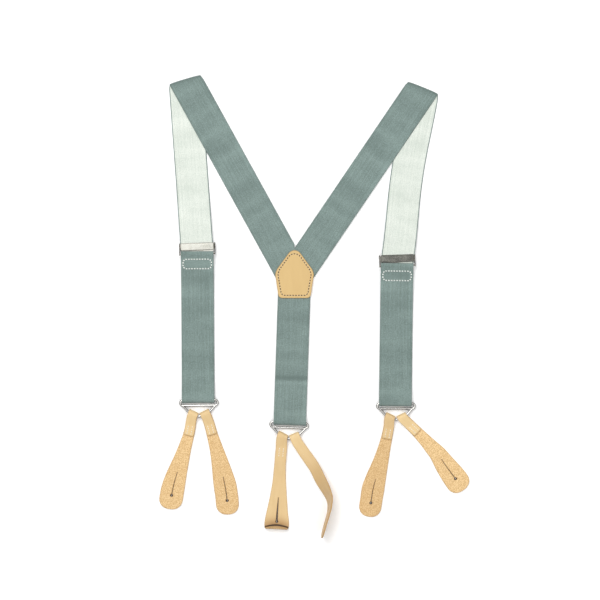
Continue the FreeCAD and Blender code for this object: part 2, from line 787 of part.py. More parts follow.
def layer(name, frame, lean, route, plan, width):
    """One layer of a tab: a strip that follows a route seen from the side, cut to the tab's plan."""
    turned = frame * Placement(Vector(), Rotation(UP, lean))
    strip = add_prism(
        name + "_strip", band_geometry(route, size("tab_leather")), side_view(turned), width, True
    )
    trim = add_prism(name + "_plan", outline_geometry(plan), frame, "40")
    return add_boolean("MultiCommon", name + "_layer", [strip, trim])


def build_tab(key):
    """A leather tab: neck folded over a ring arm, sewn tail, body that widens to a round buttonholed end.

    Front tabs have the tail on top and lie flat; the back tab has it beneath and its tip turns up.
    """
    data = TABS[key]
    frame = arm_frame(data["ring"], data["arm"])
    arm_turn = math.degrees(frame.Rotation.Angle) * (1 if frame.Rotation.Axis.z > 0 else -1)
    lean = data["lean"] - arm_turn
    name = f"tab_{key}"
    thick = size("tab_leather")
    radius = size("wire_diameter") / 2 + size("fold_room") + thick / 2
    low, high = size("wire_level") - radius, size("wire_level") + radius
    resting = low + thick + size("layer_gap")
    tail = size("tail_length")
    reach = data["reach"]
    upright = data["ring"] == "back"
    plan = tab_outline(reach + (16.0 if upright else 0.0), lean)
    short = [(2.0, high, 0), (-1.5, high, 2), (-12.5, resting, 12), (-tail, resting, 0)]
    if upright:
        upper = short[:-1] + [
            (-tail - 3.0, resting, 12),
            (-tail - 20.0, low, 12),
            (-(reach - thick / 2), low, 5.0),
            (-(reach - thick / 2 - 0.6), low + 10.0, 0),
        ]
        lower = [(2.0, low, 0), (-tail, low, 0)]
    else:
        upper = short
        lower = [(2.0, low, 0), (-(reach + 1.0), low, 0)]
    layers = [
        layer(name + "_upper", frame, lean, upper, plan, "sizes.tab_wide * 1.2"),
        layer(name + "_lower", frame, lean, lower, plan, "sizes.tab_wide * 1.2"),
    ]
    fused = add_boolean("MultiFuse", name + "_whole", layers + [fold_turn(name + "_turn", frame)])
    tool_place = frame * Placement(Vector(0, 0, low), Rotation(UP, lean))
    hole_reach = reach + (4.5 if upright else 0.0)
    tool = buttonhole(name + "_buttonhole", tool_place, hole_reach)
    keep(add_boolean("Cut", name, [fused, tool]), name)
    top = resting + thick / 2
    build_tab_stitching(key, frame, lean, top)


def build_tab_stitching(key, frame, lean, top):
    """Two short rows of stitches through the two layers of a tab."""
    surface = frame * Placement(Vector(0, 0, top), Rotation(UP, lean))
    places = []
    for across in (-2.2, 2.2):
        row = outline_wire([(across, -14.0, 0), (across, -22.0, 0)], False)
        places += along(row, 2.6)
    stitch_row(
        f"tab_stitching_{key}",
        places,
        lambda point, heading: surface * Placement(point, Rotation(UP, heading)),
    )


def section(middle, heading, width, thick, twist):
    """A rectangular slice across a line, turned about it by the twist."""
    across = Vector(-heading.y, heading.x, 0)
    tilt = math.radians(twist)
    wide = across * math.cos(tilt) + UP * math.sin(tilt)
    through = heading.cross(wide)
    corners = []
    for i, j in ((-1, -1), (1, -1), (1, 1), (-1, 1)):
        corners.append(middle + wide * (i * width / 2) + through * (j * thick / 2))
    return Part.makePolygon(corners + [corners[0]])


def build_twisted_tab():
    """The back tab that runs out to the right, turns onto its edge and curls back."""
    frame = arm_frame("back", 1)
    name = "tab_back_right"
    thick = size("tab_leather")
    points = [Vector(x, y, z) for x, y, z, _ in TWISTED_LINE]
    travelled = [0.0]
    for first, second in zip(points, points[1:]):
        travelled.append(travelled[-1] + (second - first).Length)
    neck, wide = size("tab_neck"), size("tab_wide")
    total = travelled[-1]
    slices, slots = [], []
    for i, point in enumerate(points):
        before, after = points[max(i - 1, 0)], points[min(i + 1, len(points) - 1)]
        heading = (after - before).normalize()
        share = min(max((travelled[i] - 22.0) / (total - 40.0), 0.0), 1.0)
        width = neck + (wide - neck) * share
        if i == len(points) - 1:
            width = wide * 0.62
        twist = TWISTED_LINE[i][3]
        slices.append(section(point, heading, width, thick, twist))
        slots.append(section(point, heading, size("slit_width"), 4 * thick, twist))
    # the slit runs between two slices and ends in the round hole
    first, last = SLIT_SLICES
    slot = Part.makeLoft(slots[first : last + 1], True, True)
    tilt = math.radians(TWISTED_LINE[last][3])
    heading = (points[last + 1] - points[last - 1]).normalize()
    across = Vector(-heading.y, heading.x, 0)
    through = heading.cross(across * math.cos(tilt) + UP * math.sin(tilt)).normalize()
    hole = Part.makeCylinder(
        size("hole_diameter") / 2, 4 * thick, points[last] - through * (2 * thick), through
    )
    body = Part.makeLoft(slices, True, True).cut(slot.fuse(hole))
    radius = size("wire_diameter") / 2 + size("fold_room") + thick / 2
    high = size("wire_level") + radius
    bend = fold_turn(name + "_turn", frame)
    DOCUMENT.recompute()
    # a short bridge joins the bend to the first slice
    ends = [frame.multVec(Vector(x, -0.2, high)) for x in (-neck / 2, neck / 2)]
    start = []
    for end in (ends[0], ends[1]):
        start.append(end + UP * (thick / 2))
        start.append(end - UP * (thick / 2))
    bridge_slice = Part.makePolygon([start[0], start[1], start[3], start[2], start[0]])
    bridge = Part.makeLoft([bridge_slice, slices[0]], True, True)
    low = size("wire_level") - radius
    heading = points[1] - points[0]
    lean = math.degrees(math.atan2(heading.y, heading.x)) + 90
    tail = Part.makeBox(neck, size("tail_length") + 0.5, thick, Vector(-neck / 2, -size("tail_length"), 0))
    arm_turn = math.degrees(frame.Rotation.Angle) * (1 if frame.Rotation.Axis.z > 0 else -1)
    tail.Placement = frame * Placement(Vector(0, 0, low - thick / 2), Rotation(UP, lean - arm_turn))
    whole = bend.Shape.multiFuse([bridge, body, tail])
    tab = DOCUMENT.addObject("Part::Feature", name)
    tab.Shape = whole
    keep(tab, name)
    surface_heading = lean
    base = points[1]
    places = [(Vector(a, -b, 0), -90) for a in (-2.2, 2.2) for b in (0.0, 2.8, 5.6, 8.4)]
    top = base.z + thick / 2 + 0.12
    surface = Placement(Vector(base.x, base.y, top), Rotation(UP, surface_heading))
    stitch_row(
        "tab_stitching_back_right",
        places,
        lambda point, heading: surface * Placement(point, Rotation(UP, heading)),
    )


# ---------------------------------------------------------------- assembly


def build():
    """Every sub-part of the suspenders."""
    build_patch()
    build_back_strap()
    for side in ("left", "right"):
        build_shoulder_strap(side)
        build_shoulder_fold(side)
        build_front_strap(side)
        build_doubled_strap(side)
        build_adjuster(side)
    for side in RINGS:
        build_ring(side)
    for key in TABS:
        build_tab(key)
    build_twisted_tab()
    DOCUMENT.recompute()


def check():
    """Stops on any object that failed, and on any sub-part with no valid solid."""
    for thing in DOCUMENT.Objects:
        bad = [state for state in thing.State if state in ("Invalid", "Error")]
        if bad:
            raise RuntimeError(f"{thing.Name} is {bad}")
    for name, thing in SUBPARTS:
        shape = thing.Shape
        if shape.isNull() or not shape.isValid() or not shape.Solids:
            raise RuntimeError(f"{name} has no valid solid")


def write():
    """Writes each sub-part to its own file."""
    os.makedirs("parts", exist_ok=True)
    for name, thing in SUBPARTS:
        thing.Shape.exportStep(f"parts/{name}.step")
        box = thing.Shape.BoundBox
        print(f"{name}: {len(thing.Shape.Solids)} solids, {thing.Shape.Volume:.0f} mm3, z {box.ZMin:.2f}-{box.ZMax:.2f}")


build()
check()
write()
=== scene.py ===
"""Button suspenders with a Y back, laid flat on a pale table: the visual model in the shared frame.

Webbing runs from a leather yoke patch to a fold at each shoulder, then under itself and down through a lever
adjuster, round a wire ring and back up to the adjuster's bar. A third strap runs down the back, and each ring
carries two buttonholed leather tabs. Sizes in the data are in millimetres and degrees; meshes are in metres.
"""

import logging
import math
from collections.abc import Callable
from dataclasses import dataclass
from enum import Enum

import bpy
import numpy as np
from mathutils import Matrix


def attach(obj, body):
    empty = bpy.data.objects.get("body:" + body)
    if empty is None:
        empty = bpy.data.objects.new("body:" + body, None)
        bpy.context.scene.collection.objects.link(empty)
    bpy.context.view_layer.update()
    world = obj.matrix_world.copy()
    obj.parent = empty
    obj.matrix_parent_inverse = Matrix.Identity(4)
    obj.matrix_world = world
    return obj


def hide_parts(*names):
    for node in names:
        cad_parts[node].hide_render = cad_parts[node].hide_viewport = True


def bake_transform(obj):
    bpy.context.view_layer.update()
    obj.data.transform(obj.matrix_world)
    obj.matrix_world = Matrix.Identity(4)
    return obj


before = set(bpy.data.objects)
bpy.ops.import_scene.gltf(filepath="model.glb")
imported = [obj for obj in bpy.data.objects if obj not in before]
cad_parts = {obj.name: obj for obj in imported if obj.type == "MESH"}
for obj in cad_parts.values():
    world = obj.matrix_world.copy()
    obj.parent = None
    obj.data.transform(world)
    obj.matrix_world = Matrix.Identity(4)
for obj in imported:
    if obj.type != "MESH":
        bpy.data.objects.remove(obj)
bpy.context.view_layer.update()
log = logging.getLogger("suspenders")

MM = 0.001
UP = np.array([0.0, 0.0, 1.0])
WEBBING = (35.0, 1.2)  # width and thickness
LEATHER = 1.7
WIRE = 1.15  # radius of the ring wire
WIRE_LEVEL = 3.2
RING_WRAP = 2.45  # radius of the middle of the webbing round a ring's bar
ARM_WRAP = 2.35  # radius of the middle of the leather round a ring's arm
ARM_LOW = WIRE_LEVEL - ARM_WRAP
ARM_HIGH = WIRE_LEVEL + ARM_WRAP
TAB_RESTING = ARM_LOW + LEATHER + 0.12  # middle of the upper of two leathers
LEAD = 6.0  # how far a tab's line is carried above the ring's arm


class Side(Enum):
    """The two halves of the front."""

    LEFT = "left"
    RIGHT = "right"


class Lay(Enum):
    """How a tab lies: its long body under the sewn tail, or over it."""

    BODY_UNDER = "under"
    BODY_OVER = "over"


# ------------------------------------------------------------------ plane and path geometry


def direction(angle: float) -> np.ndarray:
    """The flat unit vector at an angle.

    Args:
        angle: degrees from +X.
    Returns:
        A vector of three numbers.
    """
    return np.array([math.cos(math.radians(angle)), math.sin(math.radians(angle)), 0.0])


def rotation(angle: float) -> np.ndarray:
    """The matrix that turns about +Z.

    Args:
        angle: degrees.
    Returns:
        A 3 by 3 matrix, whose rows are the turned X, Y and Z.
    """
    return np.array([direction(angle), direction(angle + 90.0), UP])


def rounded(corners: list, closed: bool = False, step: float = 2.0) -> np.ndarray:
    """A line through corners, each rounded by a tangent arc of its own radius.

    Args:
        corners: (x, y, radius) of each corner.
        closed: whether the last corner joins the first.
        step: greatest spacing of the points on the straight runs.
    Returns:
        Points, one row of two numbers each.
    """
    flat = np.array([c[:2] for c in corners], float)
    count = len(flat)
    legs = []
    for i in range(count):
        radius = corners[i][2]
        if radius <= 0 or (not closed and i in (0, count - 1)):
            legs.append(flat[i][None, :])
            continue
        back, ahead = flat[i - 1] - flat[i], flat[(i + 1) % count] - flat[i]
        back, ahead = back / np.linalg.norm(back), ahead / np.linalg.norm(ahead)
        inside = math.acos(float(np.clip(back @ ahead, -1, 1)))
        if inside > math.pi - 1e-3:
            legs.append(flat[i][None, :])
            continue
        centre = flat[i] + (back + ahead) / np.linalg.norm(back + ahead) * radius / math.sin(inside / 2)
        reach = radius / math.tan(inside / 2)
        spokes = flat[i] + back * reach - centre, flat[i] + ahead * reach - centre
        first = math.atan2(spokes[0][1], spokes[0][0])
        turn = (math.atan2(spokes[1][1], spokes[1][0]) - first + math.pi) % (2 * math.pi) - math.pi
        angles = first + turn * np.linspace(0, 1, max(4, int(abs(turn) / 0.2) + 2))
        legs.append(centre + radius * np.stack([np.cos(angles), np.sin(angles)], 1))
    if closed:
        legs.append(legs[0][:1])
    points = [legs[0]]
    for leg in legs[1:]:
        gap = np.linalg.norm(leg[0] - points[-1][-1])
        shares = np.linspace(0, 1, max(1, int(gap / step)) + 1)[1:-1, None]
        points += [points[-1][-1] * (1 - shares) + leg[0] * shares, leg]
    line = np.concatenate(points)
    kept = np.concatenate([[True], np.linalg.norm(np.diff(line, axis=0), axis=1) > 1e-4])
    return line[kept][:-1] if closed else line[kept]


def travelled(line: np.ndarray) -> np.ndarray:
    """The distance along a line to each of its points.

    Args:
        line: points, one per row.
    Returns:
        One distance per point, from 0.
    """
    return np.concatenate([[0.0], np.cumsum(np.linalg.norm(np.diff(line, axis=0), axis=1))])


def curve_through(points: np.ndarray, places: np.ndarray) -> np.ndarray:
    """A smooth curve through points: cubic pieces whose slope at each point is that of its two neighbours.

    Args:
        points: the points, one per row.
        places: distances along the chords at which to read the curve.
    Returns:
        One point per place; before and after the ends it runs straight on.
    """
    known = travelled(points)
    slope = np.gradient(points, known, axis=0)
    i = np.clip(np.searchsorted(known, places, side="right") - 1, 0, len(points) - 2)
    span = (known[i + 1] - known[i])[:, None]
    share = np.clip((places - known[i])[:, None] / span, 0, 1)
    square, cube = share**2, share**3
    curve = points[i] * (2 * cube - 3 * square + 1) + points[i + 1] * (3 * square - 2 * cube)
    curve += slope[i] * span * (cube - 2 * square + share) + slope[i + 1] * span * (cube - square)
    past = (places - np.clip(places, known[0], known[-1]))[:, None]
    return curve + past * np.where(places[:, None] < known[0], slope[0], slope[-1])


def side_normals(route: np.ndarray) -> np.ndarray:
    """The left-hand normal at each point of a flat line.

    Args:
        route: points, one row of two numbers each.
    Returns:
        One unit vector per point.
    """
    slope = np.gradient(route, travelled(route), axis=0)
    slope /= np.linalg.norm(slope, axis=1, keepdims=True)
    return np.stack([-slope[:, 1], slope[:, 0]], 1)


def grid_faces(rows: int, columns: int, wrap: bool = False, flip: bool = False) -> np.ndarray:
    """The quads of a grid of points numbered row by row.

    Args:
        rows: number of rows.
        columns: number of points in a row.
        wrap: whether each row is a closed loop.
        flip: whether the faces look the other way.
    Returns:
        Four point numbers per face.
    """
    i = np.arange(rows - 1)[:, None] * columns
    j = np.arange(columns if wrap else columns - 1)[None, :]
    k = (j + 1) % columns
    quads = np.stack([i + j, i + k, i + k + columns, i + j + columns], -1).reshape(-1, 4)
    return quads[:, ::-1] if flip else quads


class Shell:
    """Points, faces and values that are gathered into one mesh object."""

    def __init__(self) -> None:
        self.points: list = []
        self.faces: list = []
        self.uv: list = []
        self.values: dict = {}
        self.count = 0

    def add(self, points: np.ndarray, faces: list, uv: np.ndarray | None = None, **values: np.ndarray) -> None:
        """Adds one patch of surface.

        Args:
            points: places in millimetres, in any grid shape.
            faces: arrays of point numbers, each with its own number of corners.
            uv: a place in the pattern for each point.
            values: named numbers for each point.
        """
        points = np.asarray(points, float).reshape(-1, 3)
        self.points.append(points)
        self.uv.append(np.zeros((len(points), 2)) if uv is None else np.asarray(uv, float).reshape(-1, 2))
        for name in set(values) | set(self.values):
            rows = self.values.setdefault(name, [np.zeros(self.count)] if self.count else [])
            rows.append(np.broadcast_to(np.asarray(values.get(name, 0.0), float).ravel(), len(points)))
        self.faces += [np.asarray(f) + self.count for f in faces]
        self.count += len(points)

    def join(self, other: "Shell") -> None:
        """Adds everything that another shell holds.

        Args:
            other: the shell to take from.
        """
        for name in set(other.values) - set(self.values):
            self.values[name] = [np.zeros(self.count)]
        for name, rows in self.values.items():
            rows += other.values.get(name, [np.zeros(other.count)])
        self.points += other.points
        self.uv += other.uv
        self.faces += [f + self.count for f in other.faces]
        self.count += other.count

    def make(self, name: str, material: bpy.types.Material, sharp: float = 50.0) -> bpy.types.Object:
        """Turns what was gathered into an object of the scene.

        Args:
            name: the object's name.
            material: its material.
            sharp: angle in degrees above which an edge is shaded sharp.
        Returns:
            The new object.
        """
        points = np.concatenate(self.points) * MM
        corners = np.concatenate([f.ravel() for f in self.faces])
        sizes = np.concatenate([np.full(len(f), f.shape[1]) for f in self.faces])
        mesh = bpy.data.meshes.new(name)
        mesh.vertices.add(len(points))
        mesh.vertices.foreach_set("co", points.ravel())
        mesh.loops.add(len(corners))
        mesh.loops.foreach_set("vertex_index", corners.astype(np.int32))
        mesh.polygons.add(len(sizes))
        starts = np.concatenate([[0], np.cumsum(sizes)[:-1]]).astype(np.int32)
        mesh.polygons.foreach_set("loop_start", starts)
        mesh.polygons.foreach_set("use_smooth", np.ones(len(sizes), bool))
        layer = mesh.uv_layers.new(name="Pattern")
        layer.data.foreach_set("uv", np.concatenate(self.uv)[corners].ravel())
        for key, rows in self.values.items():
            mesh.attributes.new(key, "FLOAT", "POINT").data.foreach_set("value", np.concatenate(rows))
        mesh.update(calc_edges=True)
        mesh.validate()
        mesh.set_sharp_from_angle(angle=math.radians(sharp))
        mesh.materials.append(material)
        thing = bpy.data.objects.new(name, mesh)
        bpy.context.scene.collection.objects.link(thing)
        log.info("%s: %d points, %d faces", name, len(points), len(sizes))
        return thing


# ------------------------------------------------------------------ shader building


class Nodes:
    """Short calls for building one node tree."""

    def __init__(self, tree: bpy.types.NodeTree) -> None:
        self.tree = tree

    def new(self, kind: str, inputs: dict | None = None, **settings) -> bpy.types.Node:
        """A node with settings and inputs.

        Args:
            kind: the node's type, without "ShaderNode".
            inputs: socket name or number to a constant or to another node's output.
            settings: attributes of the node.
        Returns:
            The node.
        """
        node = self.tree.nodes.new(kind if kind.startswith("NodeGroup") else "ShaderNode" + kind)
        for key, value in settings.items():
            setattr(node, key, value)
        for key, value in (inputs or {}).items():
            if isinstance(value, bpy.types.NodeSocket):
                self.tree.links.new(value, node.inputs[key])
            else:
                node.inputs[key].default_value = value
        return node

    def math(self, operation: str, *values) -> bpy.types.NodeSocket:
        """One arithmetic step.

        Args:
            operation: the node's operation.
            values: constants or outputs.
        Returns:
            The result's socket.
        """
        return self.new("Math", dict(enumerate(values)), operation=operation).outputs[0]

    def mix(self, share, first, second) -> bpy.types.NodeSocket:
        """A colour between two others.

        Args:
            share: 0 for the first colour and 1 for the second.
            first: colour or output.
            second: colour or output.
        Returns:
            The colour's socket.
        """
        return self.new("Mix", {0: share, 6: first, 7: second}, data_type="RGBA").outputs[2]

    def span(self, value, low: float, high: float, to_low: float = 0.0, to_high: float = 1.0):
        """A value carried from one range to another and clamped.

        Args:
            value: output to carry.
            low: start of its range.
            high: end of its range.
            to_low: what the start becomes.
            to_high: what the end becomes.
        Returns:
            The result's socket.
        """
        inputs = {"Value": value, "From Min": low, "From Max": high, "To Min": to_low, "To Max": to_high}
        return self.new("MapRange", inputs, clamp=True).outputs[0]

    def noise(self, vector, scale: float, detail: float = 3.0, rough: float = 0.5):
        """Smooth noise from 0 to 1.

        Args:
            vector: where to read it.
            scale: how many features per unit.
            detail: finer layers.
            rough: strength of the finer layers.
        Returns:
            The value's socket.
        """
        inputs = {"Vector": vector, "Scale": scale, "Detail": detail, "Roughness": rough}
        return self.new("TexNoise", inputs).outputs[0]

    def stretched(self, vector, scale: tuple):
        """A vector scaled by its own factor on each axis.

        Args:
            vector: output to scale.
            scale: three factors.
        Returns:
            The vector's socket.
        """
        return self.new("Mapping", {"Vector": vector, "Scale": scale}).outputs[0]


def shader_group(name: str, inputs: dict, outputs: tuple, build) -> bpy.types.NodeTree:
    """A reusable node group, built the first time it is asked for.

    Args:
        name: the group's name.
        inputs: input name to default; a tuple makes a vector input.
        outputs: names of the number outputs.
        build: takes (nodes, input sockets) and returns the outputs' sockets in order.
    Returns:
        The group's tree.
    """
    known = bpy.data.node_groups.get(name)
    if known is not None:
        return known
    tree = bpy.data.node_groups.new(name, "ShaderNodeTree")
    for key, value in inputs.items():
        kind = "NodeSocketVector" if isinstance(value, tuple) else "NodeSocketFloat"
        tree.interface.new_socket(key, in_out="INPUT", socket_type=kind).default_value = value
    for key in outputs:
        tree.interface.new_socket(key, in_out="OUTPUT", socket_type="NodeSocketFloat")
    nodes = Nodes(tree)
    entry, leave = tree.nodes.new("NodeGroupInput"), tree.nodes.new("NodeGroupOutput")
    for key, socket in zip(outputs, build(nodes, entry.outputs)):
        tree.links.new(socket, leave.inputs[key])
    return tree


def weave_group() -> bpy.types.NodeTree:
    """Elastic weave in a strip's own millimetres: fine lengthwise ribs crossed by rows of weft."""

    def build(n: Nodes, entry) -> list:
        across = n.new("SeparateXYZ", {0: entry["Place"]}).outputs
        wander = n.math("MULTIPLY", n.noise(entry["Place"], 0.25, 2.0), 0.6)
        rib = n.math("SINE", n.math("MULTIPLY", n.math("ADD", across[0], wander), 2 * math.pi / 1.15))
        row = n.math("SINE", n.math("MULTIPLY", n.math("ADD", across[1], wander), 2 * math.pi / 0.7))
        crossed = n.math("MULTIPLY", n.math("ADD", n.math("MULTIPLY", rib, 0.5), 0.5), n.math("ABSOLUTE", row))
        yarn = n.noise(n.stretched(entry["Place"], (3.0, 0.16, 1.0)), 1.0, 4.0, 0.62)
        fleck = n.noise(n.stretched(entry["Place"], (1.0, 0.8, 1.0)), 1.0, 3.0, 0.75)
        cloud = n.noise(n.stretched(entry["Place"], (0.018, 0.055, 1.0)), 1.0, 2.0)
        streak = n.noise(n.stretched(entry["Place"], (0.62, 0.012, 1.0)), 1.0, 4.0, 0.6)
        heather = n.math("ADD", n.math("MULTIPLY", yarn, 0.30), n.math("MULTIPLY", fleck, 0.48))
        heather = n.math("ADD", heather, n.math("MULTIPLY", streak, 0.22))
        return [crossed, heather, cloud]

    return shader_group("elastic_weave", {"Place": (0.0, 0.0, 0.0)}, ("Height", "Heather", "Cloud"), build)


def hide_group() -> bpy.types.NodeTree:
    """Vegetable-tanned hide in millimetres: pebbled grain, torn flesh fibres, dark flecks and mottling."""

    def build(n: Nodes, entry) -> list:
        place = entry["Place"]
        pebble = n.new("TexVoronoi", {"Vector": place, "Scale": 2.6, "Randomness": 1.0}).outputs["Distance"]
        grain = n.math("ADD", n.math("MULTIPLY", pebble, 0.6), n.math("MULTIPLY", n.noise(place, 5.0), 0.4))
        tufts = n.noise(n.stretched(place, (1.0, 0.75, 1.0)), 1.15, 5.0, 0.72)
        crumbs = n.new("TexVoronoi", {"Vector": place, "Scale": 1.05, "Randomness": 1.0}).outputs["Distance"]
        nap = n.math("ADD", n.math("MULTIPLY", tufts, 0.7), n.math("MULTIPLY", crumbs, 0.45))
        fleck = n.span(n.noise(place, 1.0, 4.0, 0.75), 0.57, 0.70)
        mottle = n.noise(n.stretched(place, (1.0, 0.18, 1.0)), 0.16, 4.0)
        return [grain, nap, fleck, mottle]

    return shader_group("tanned_hide", {"Place": (0.0, 0.0, 0.0)}, ("Grain", "Nap", "Fleck", "Mottle"), build)


def plating_group() -> bpy.types.NodeTree:
    """Handled nickel plate: fine scratches both ways, faint clouding and tiny dents."""

    def build(n: Nodes, entry) -> list:
        place = entry["Place"]
        one = n.noise(n.stretched(place, (0.08, 3.0, 0.8)), 1.0, 4.0, 0.7)
        two = n.noise(n.stretched(place, (2.6, 0.1, 0.8)), 1.0, 4.0, 0.7)
        scratch = n.math("ADD", n.span(one, 0.60, 0.76), n.span(two, 0.63, 0.78))
        cloud = n.noise(place, 0.16, 3.0)
        dents = n.noise(place, 0.45, 2.0)
        return [scratch, cloud, dents]

    return shader_group("nickel_wear", {"Place": (0.0, 0.0, 0.0)}, ("Scratch", "Cloud", "Dents"), build)


def ply_group() -> bpy.types.NodeTree:
    """Sewing thread: fibres that wind round it, and a little fluff."""

    def build(n: Nodes, entry) -> list:
        fibre = n.noise(n.stretched(entry["Place"], (2.0, 2.0, 2.0)), 3.0, 3.0, 0.6)
        return [fibre, n.noise(entry["Place"], 0.5, 2.0)]

    return shader_group("thread_ply", {"Place": (0.0, 0.0, 0.0)}, ("Fibre", "Tone"), build)


@dataclass(frozen=True)
class Finish:
    """What a surface is made of. Each kind fills in its own nodes."""

    name: str
    slot: str

    def material(self) -> bpy.types.Material:
        """The finish's material, made once."""
        known = bpy.data.materials.get(self.name)
        if known is not None:
            return known
        made = bpy.data.materials.new(self.name)
        made.use_nodes = True
        nodes = Nodes(made.node_tree)
        shader = made.node_tree.nodes["Principled BSDF"]
        for key, value in self.sockets(nodes).items():
            if isinstance(value, bpy.types.NodeSocket):
                made.node_tree.links.new(value, shader.inputs[key])
            else:
                shader.inputs[key].default_value = value
        return made

    def sockets(self, n: Nodes) -> dict:
        """The values of the Principled shader's inputs."""
        raise NotImplementedError

    @staticmethod
    def place(n: Nodes) -> bpy.types.NodeSocket:
        """The surface's own pattern map in millimetres."""
        return n.stretched(n.new("UVMap", uv_map="Pattern").outputs[0], (1000.0, 1000.0, 1000.0))

    @staticmethod
    def object_place(n: Nodes) -> bpy.types.NodeSocket:
        """Object coordinates in millimetres."""
        return n.stretched(n.new("TexCoord").outputs["Object"], (1000.0, 1000.0, 1000.0))

    @staticmethod
    def value(n: Nodes, name: str) -> bpy.types.NodeSocket:
        """A number that the mesh carries at each point."""
        return n.new("Attribute", attribute_name=name).outputs["Fac"]


@dataclass(frozen=True)
class Elastic(Finish):
    """Elastic webbing: heathered outer face, pale inner side, and an outer-coloured selvedge."""

    outer: tuple
    outer_dark: tuple
    inner: tuple
    inner_dark: tuple

    def sockets(self, n: Nodes) -> dict:
        weave = n.new("Group", {"Place": self.place(n)}, node_tree=weave_group()).outputs
        pale = self.value(n, "inner")
        tone = n.span(weave["Heather"], 0.40, 0.60)
        tone = n.math("ADD", tone, n.span(weave["Cloud"], 0.3, 0.7, -0.22, 0.22))
        # tone follows the weave's height: painted shade in the weave's grooves
        tone = n.math("ADD", tone, n.span(weave["Height"], 0.0, 0.8, -0.18, 0.12))
        # painted shade and painted light from the mesh's shade value: rounded edges, the shoulder folds and the
        # back strap's crease bands
        tone = n.math("SUBTRACT", tone, n.math("MULTIPLY", self.value(n, "shade"), 1.6))
        outer = n.mix(tone, self.outer_dark, self.outer)
        inner = n.mix(tone, self.inner_dark, self.inner)
        bump = n.new("Bump", {"Strength": 0.5, "Distance": 0.00022, "Height": weave["Height"]})
        return {
            "Base Color": n.mix(pale, outer, inner),
            "Roughness": 0.86,
            "Specular IOR Level": 0.25,
            "Sheen Weight": 0.16,
            "Sheen Roughness": 0.55,
            "Normal": bump.outputs[0],
        }


@dataclass(frozen=True)
class Hide(Finish):
    """Natural leather: smooth grain side, rough speckled flesh side, a darker cut rim, and painted shade and
    painted shadow where its shade value rises.
    """

    grain: tuple
    grain_dark: tuple
    flesh: tuple
    flesh_dark: tuple
    fleck: tuple
    rim: tuple
    painted_shadow: tuple

    def sockets(self, n: Nodes) -> dict:
        hide = n.new("Group", {"Place": self.place(n)}, node_tree=hide_group()).outputs
        rough, rim = self.value(n, "flesh"), self.value(n, "rim")
        shade = self.value(n, "shade")
        smooth = n.mix(n.span(hide["Mottle"], 0.36, 0.62), self.grain_dark, self.grain)
        smooth = n.mix(n.span(hide["Grain"], 0.15, 0.5, 0.0, 0.25), self.grain, smooth)
        torn = n.mix(n.span(hide["Nap"], 0.38, 0.66), self.flesh_dark, self.flesh)
        torn = n.mix(n.math("MULTIPLY", hide["Fleck"], 0.75), torn, self.fleck)
        face = n.mix(rough, smooth, torn)
        cut = n.mix(n.math("MULTIPLY", rim, 0.62), face, self.rim)
        # the shade value: up to one half it darkens towards the rim colour, both as a tab's own darker tone and
        # as painted shade; above one half it runs to the painted shadow colour
        cut = n.mix(n.span(shade, 0.0, 0.5), cut, n.mix(0.35, self.rim, face))
        cut = n.mix(n.span(shade, 0.5, 1.0), cut, self.painted_shadow)
        nap = n.math("MULTIPLY", n.math("MULTIPLY", hide["Nap"], rough), 0.95)
        height = n.math("ADD", n.math("MULTIPLY", hide["Grain"], 0.16), nap)
        bump = n.new("Bump", {"Strength": 0.7, "Distance": 0.0004, "Height": height})
        return {
            "Base Color": cut,
            "Roughness": n.math("ADD", n.math("MULTIPLY", rough, 0.32), 0.5),
            "Specular IOR Level": 0.35,
            "Sheen Weight": n.math("MULTIPLY", rough, 0.12),
            "Normal": bump.outputs[0],
        }


@dataclass(frozen=True)
class Nickel(Finish):
    """Nickel plate that has been handled, with painted shade on its rims and on a wire's flanks."""

    tint: tuple
    dull: tuple
    roughness: float
    painted_edge_shade: tuple = (0.10, 0.09, 0.075, 1.0)

    def sockets(self, n: Nodes) -> dict:
        wear = n.new("Group", {"Place": self.object_place(n)}, node_tree=plating_group()).outputs
        rough = n.math("ADD", n.math("MULTIPLY", wear["Scratch"], 0.08), self.roughness)
        rough = n.math("ADD", rough, n.span(wear["Cloud"], 0.35, 0.7, 0.0, 0.08))
        dents = n.math("MULTIPLY", wear["Dents"], 0.8)
        height = n.math("ADD", n.math("MULTIPLY", wear["Scratch"], -0.12), dents)
        bump = n.new("Bump", {"Strength": 0.25, "Distance": 0.00012, "Height": height})
        plain = n.mix(n.span(wear["Cloud"], 0.3, 0.8, 0.0, 0.6), self.tint, self.dull)
        return {
            # painted shade: the rim value darkens plate rims and all but a wire's top crest towards this colour
            "Base Color": n.mix(n.math("MULTIPLY", self.value(n, "rim"), 0.9), plain, self.painted_edge_shade),
            "Metallic": 1.0,
            "Roughness": rough,
            "Normal": bump.outputs[0],
        }


@dataclass(frozen=True)
class Thread(Finish):
    """Sewing thread."""

    tint: tuple
    shadow: tuple

    def sockets(self, n: Nodes) -> dict:
        ply = n.new("Group", {"Place": self.object_place(n)}, node_tree=ply_group()).outputs
        bump = n.new("Bump", {"Strength": 0.4, "Distance": 0.0001, "Height": ply["Fibre"]})
        return {
            "Base Color": n.mix(n.span(ply["Fibre"], 0.35, 0.6), self.shadow, self.tint),
            "Roughness": n.span(ply["Tone"], 0.3, 0.7, 0.6, 0.75),
            "Sheen Weight": 0.1,
            "Normal": bump.outputs[0],
        }


@dataclass(frozen=True)
class Table(Finish):
    """Matt pale table top."""

    tint: tuple

    def sockets(self, n: Nodes) -> dict:
        mottle = n.noise(self.object_place(n), 0.02, 2.0)
        tint = n.mix(n.span(mottle, 0.3, 0.7, 0.0, 0.3), self.tint, (0.93, 0.93, 0.93, 1.0))
        return {"Base Color": tint, "Roughness": 0.95, "Emission Color": tint, "Emission Strength": 0.12}


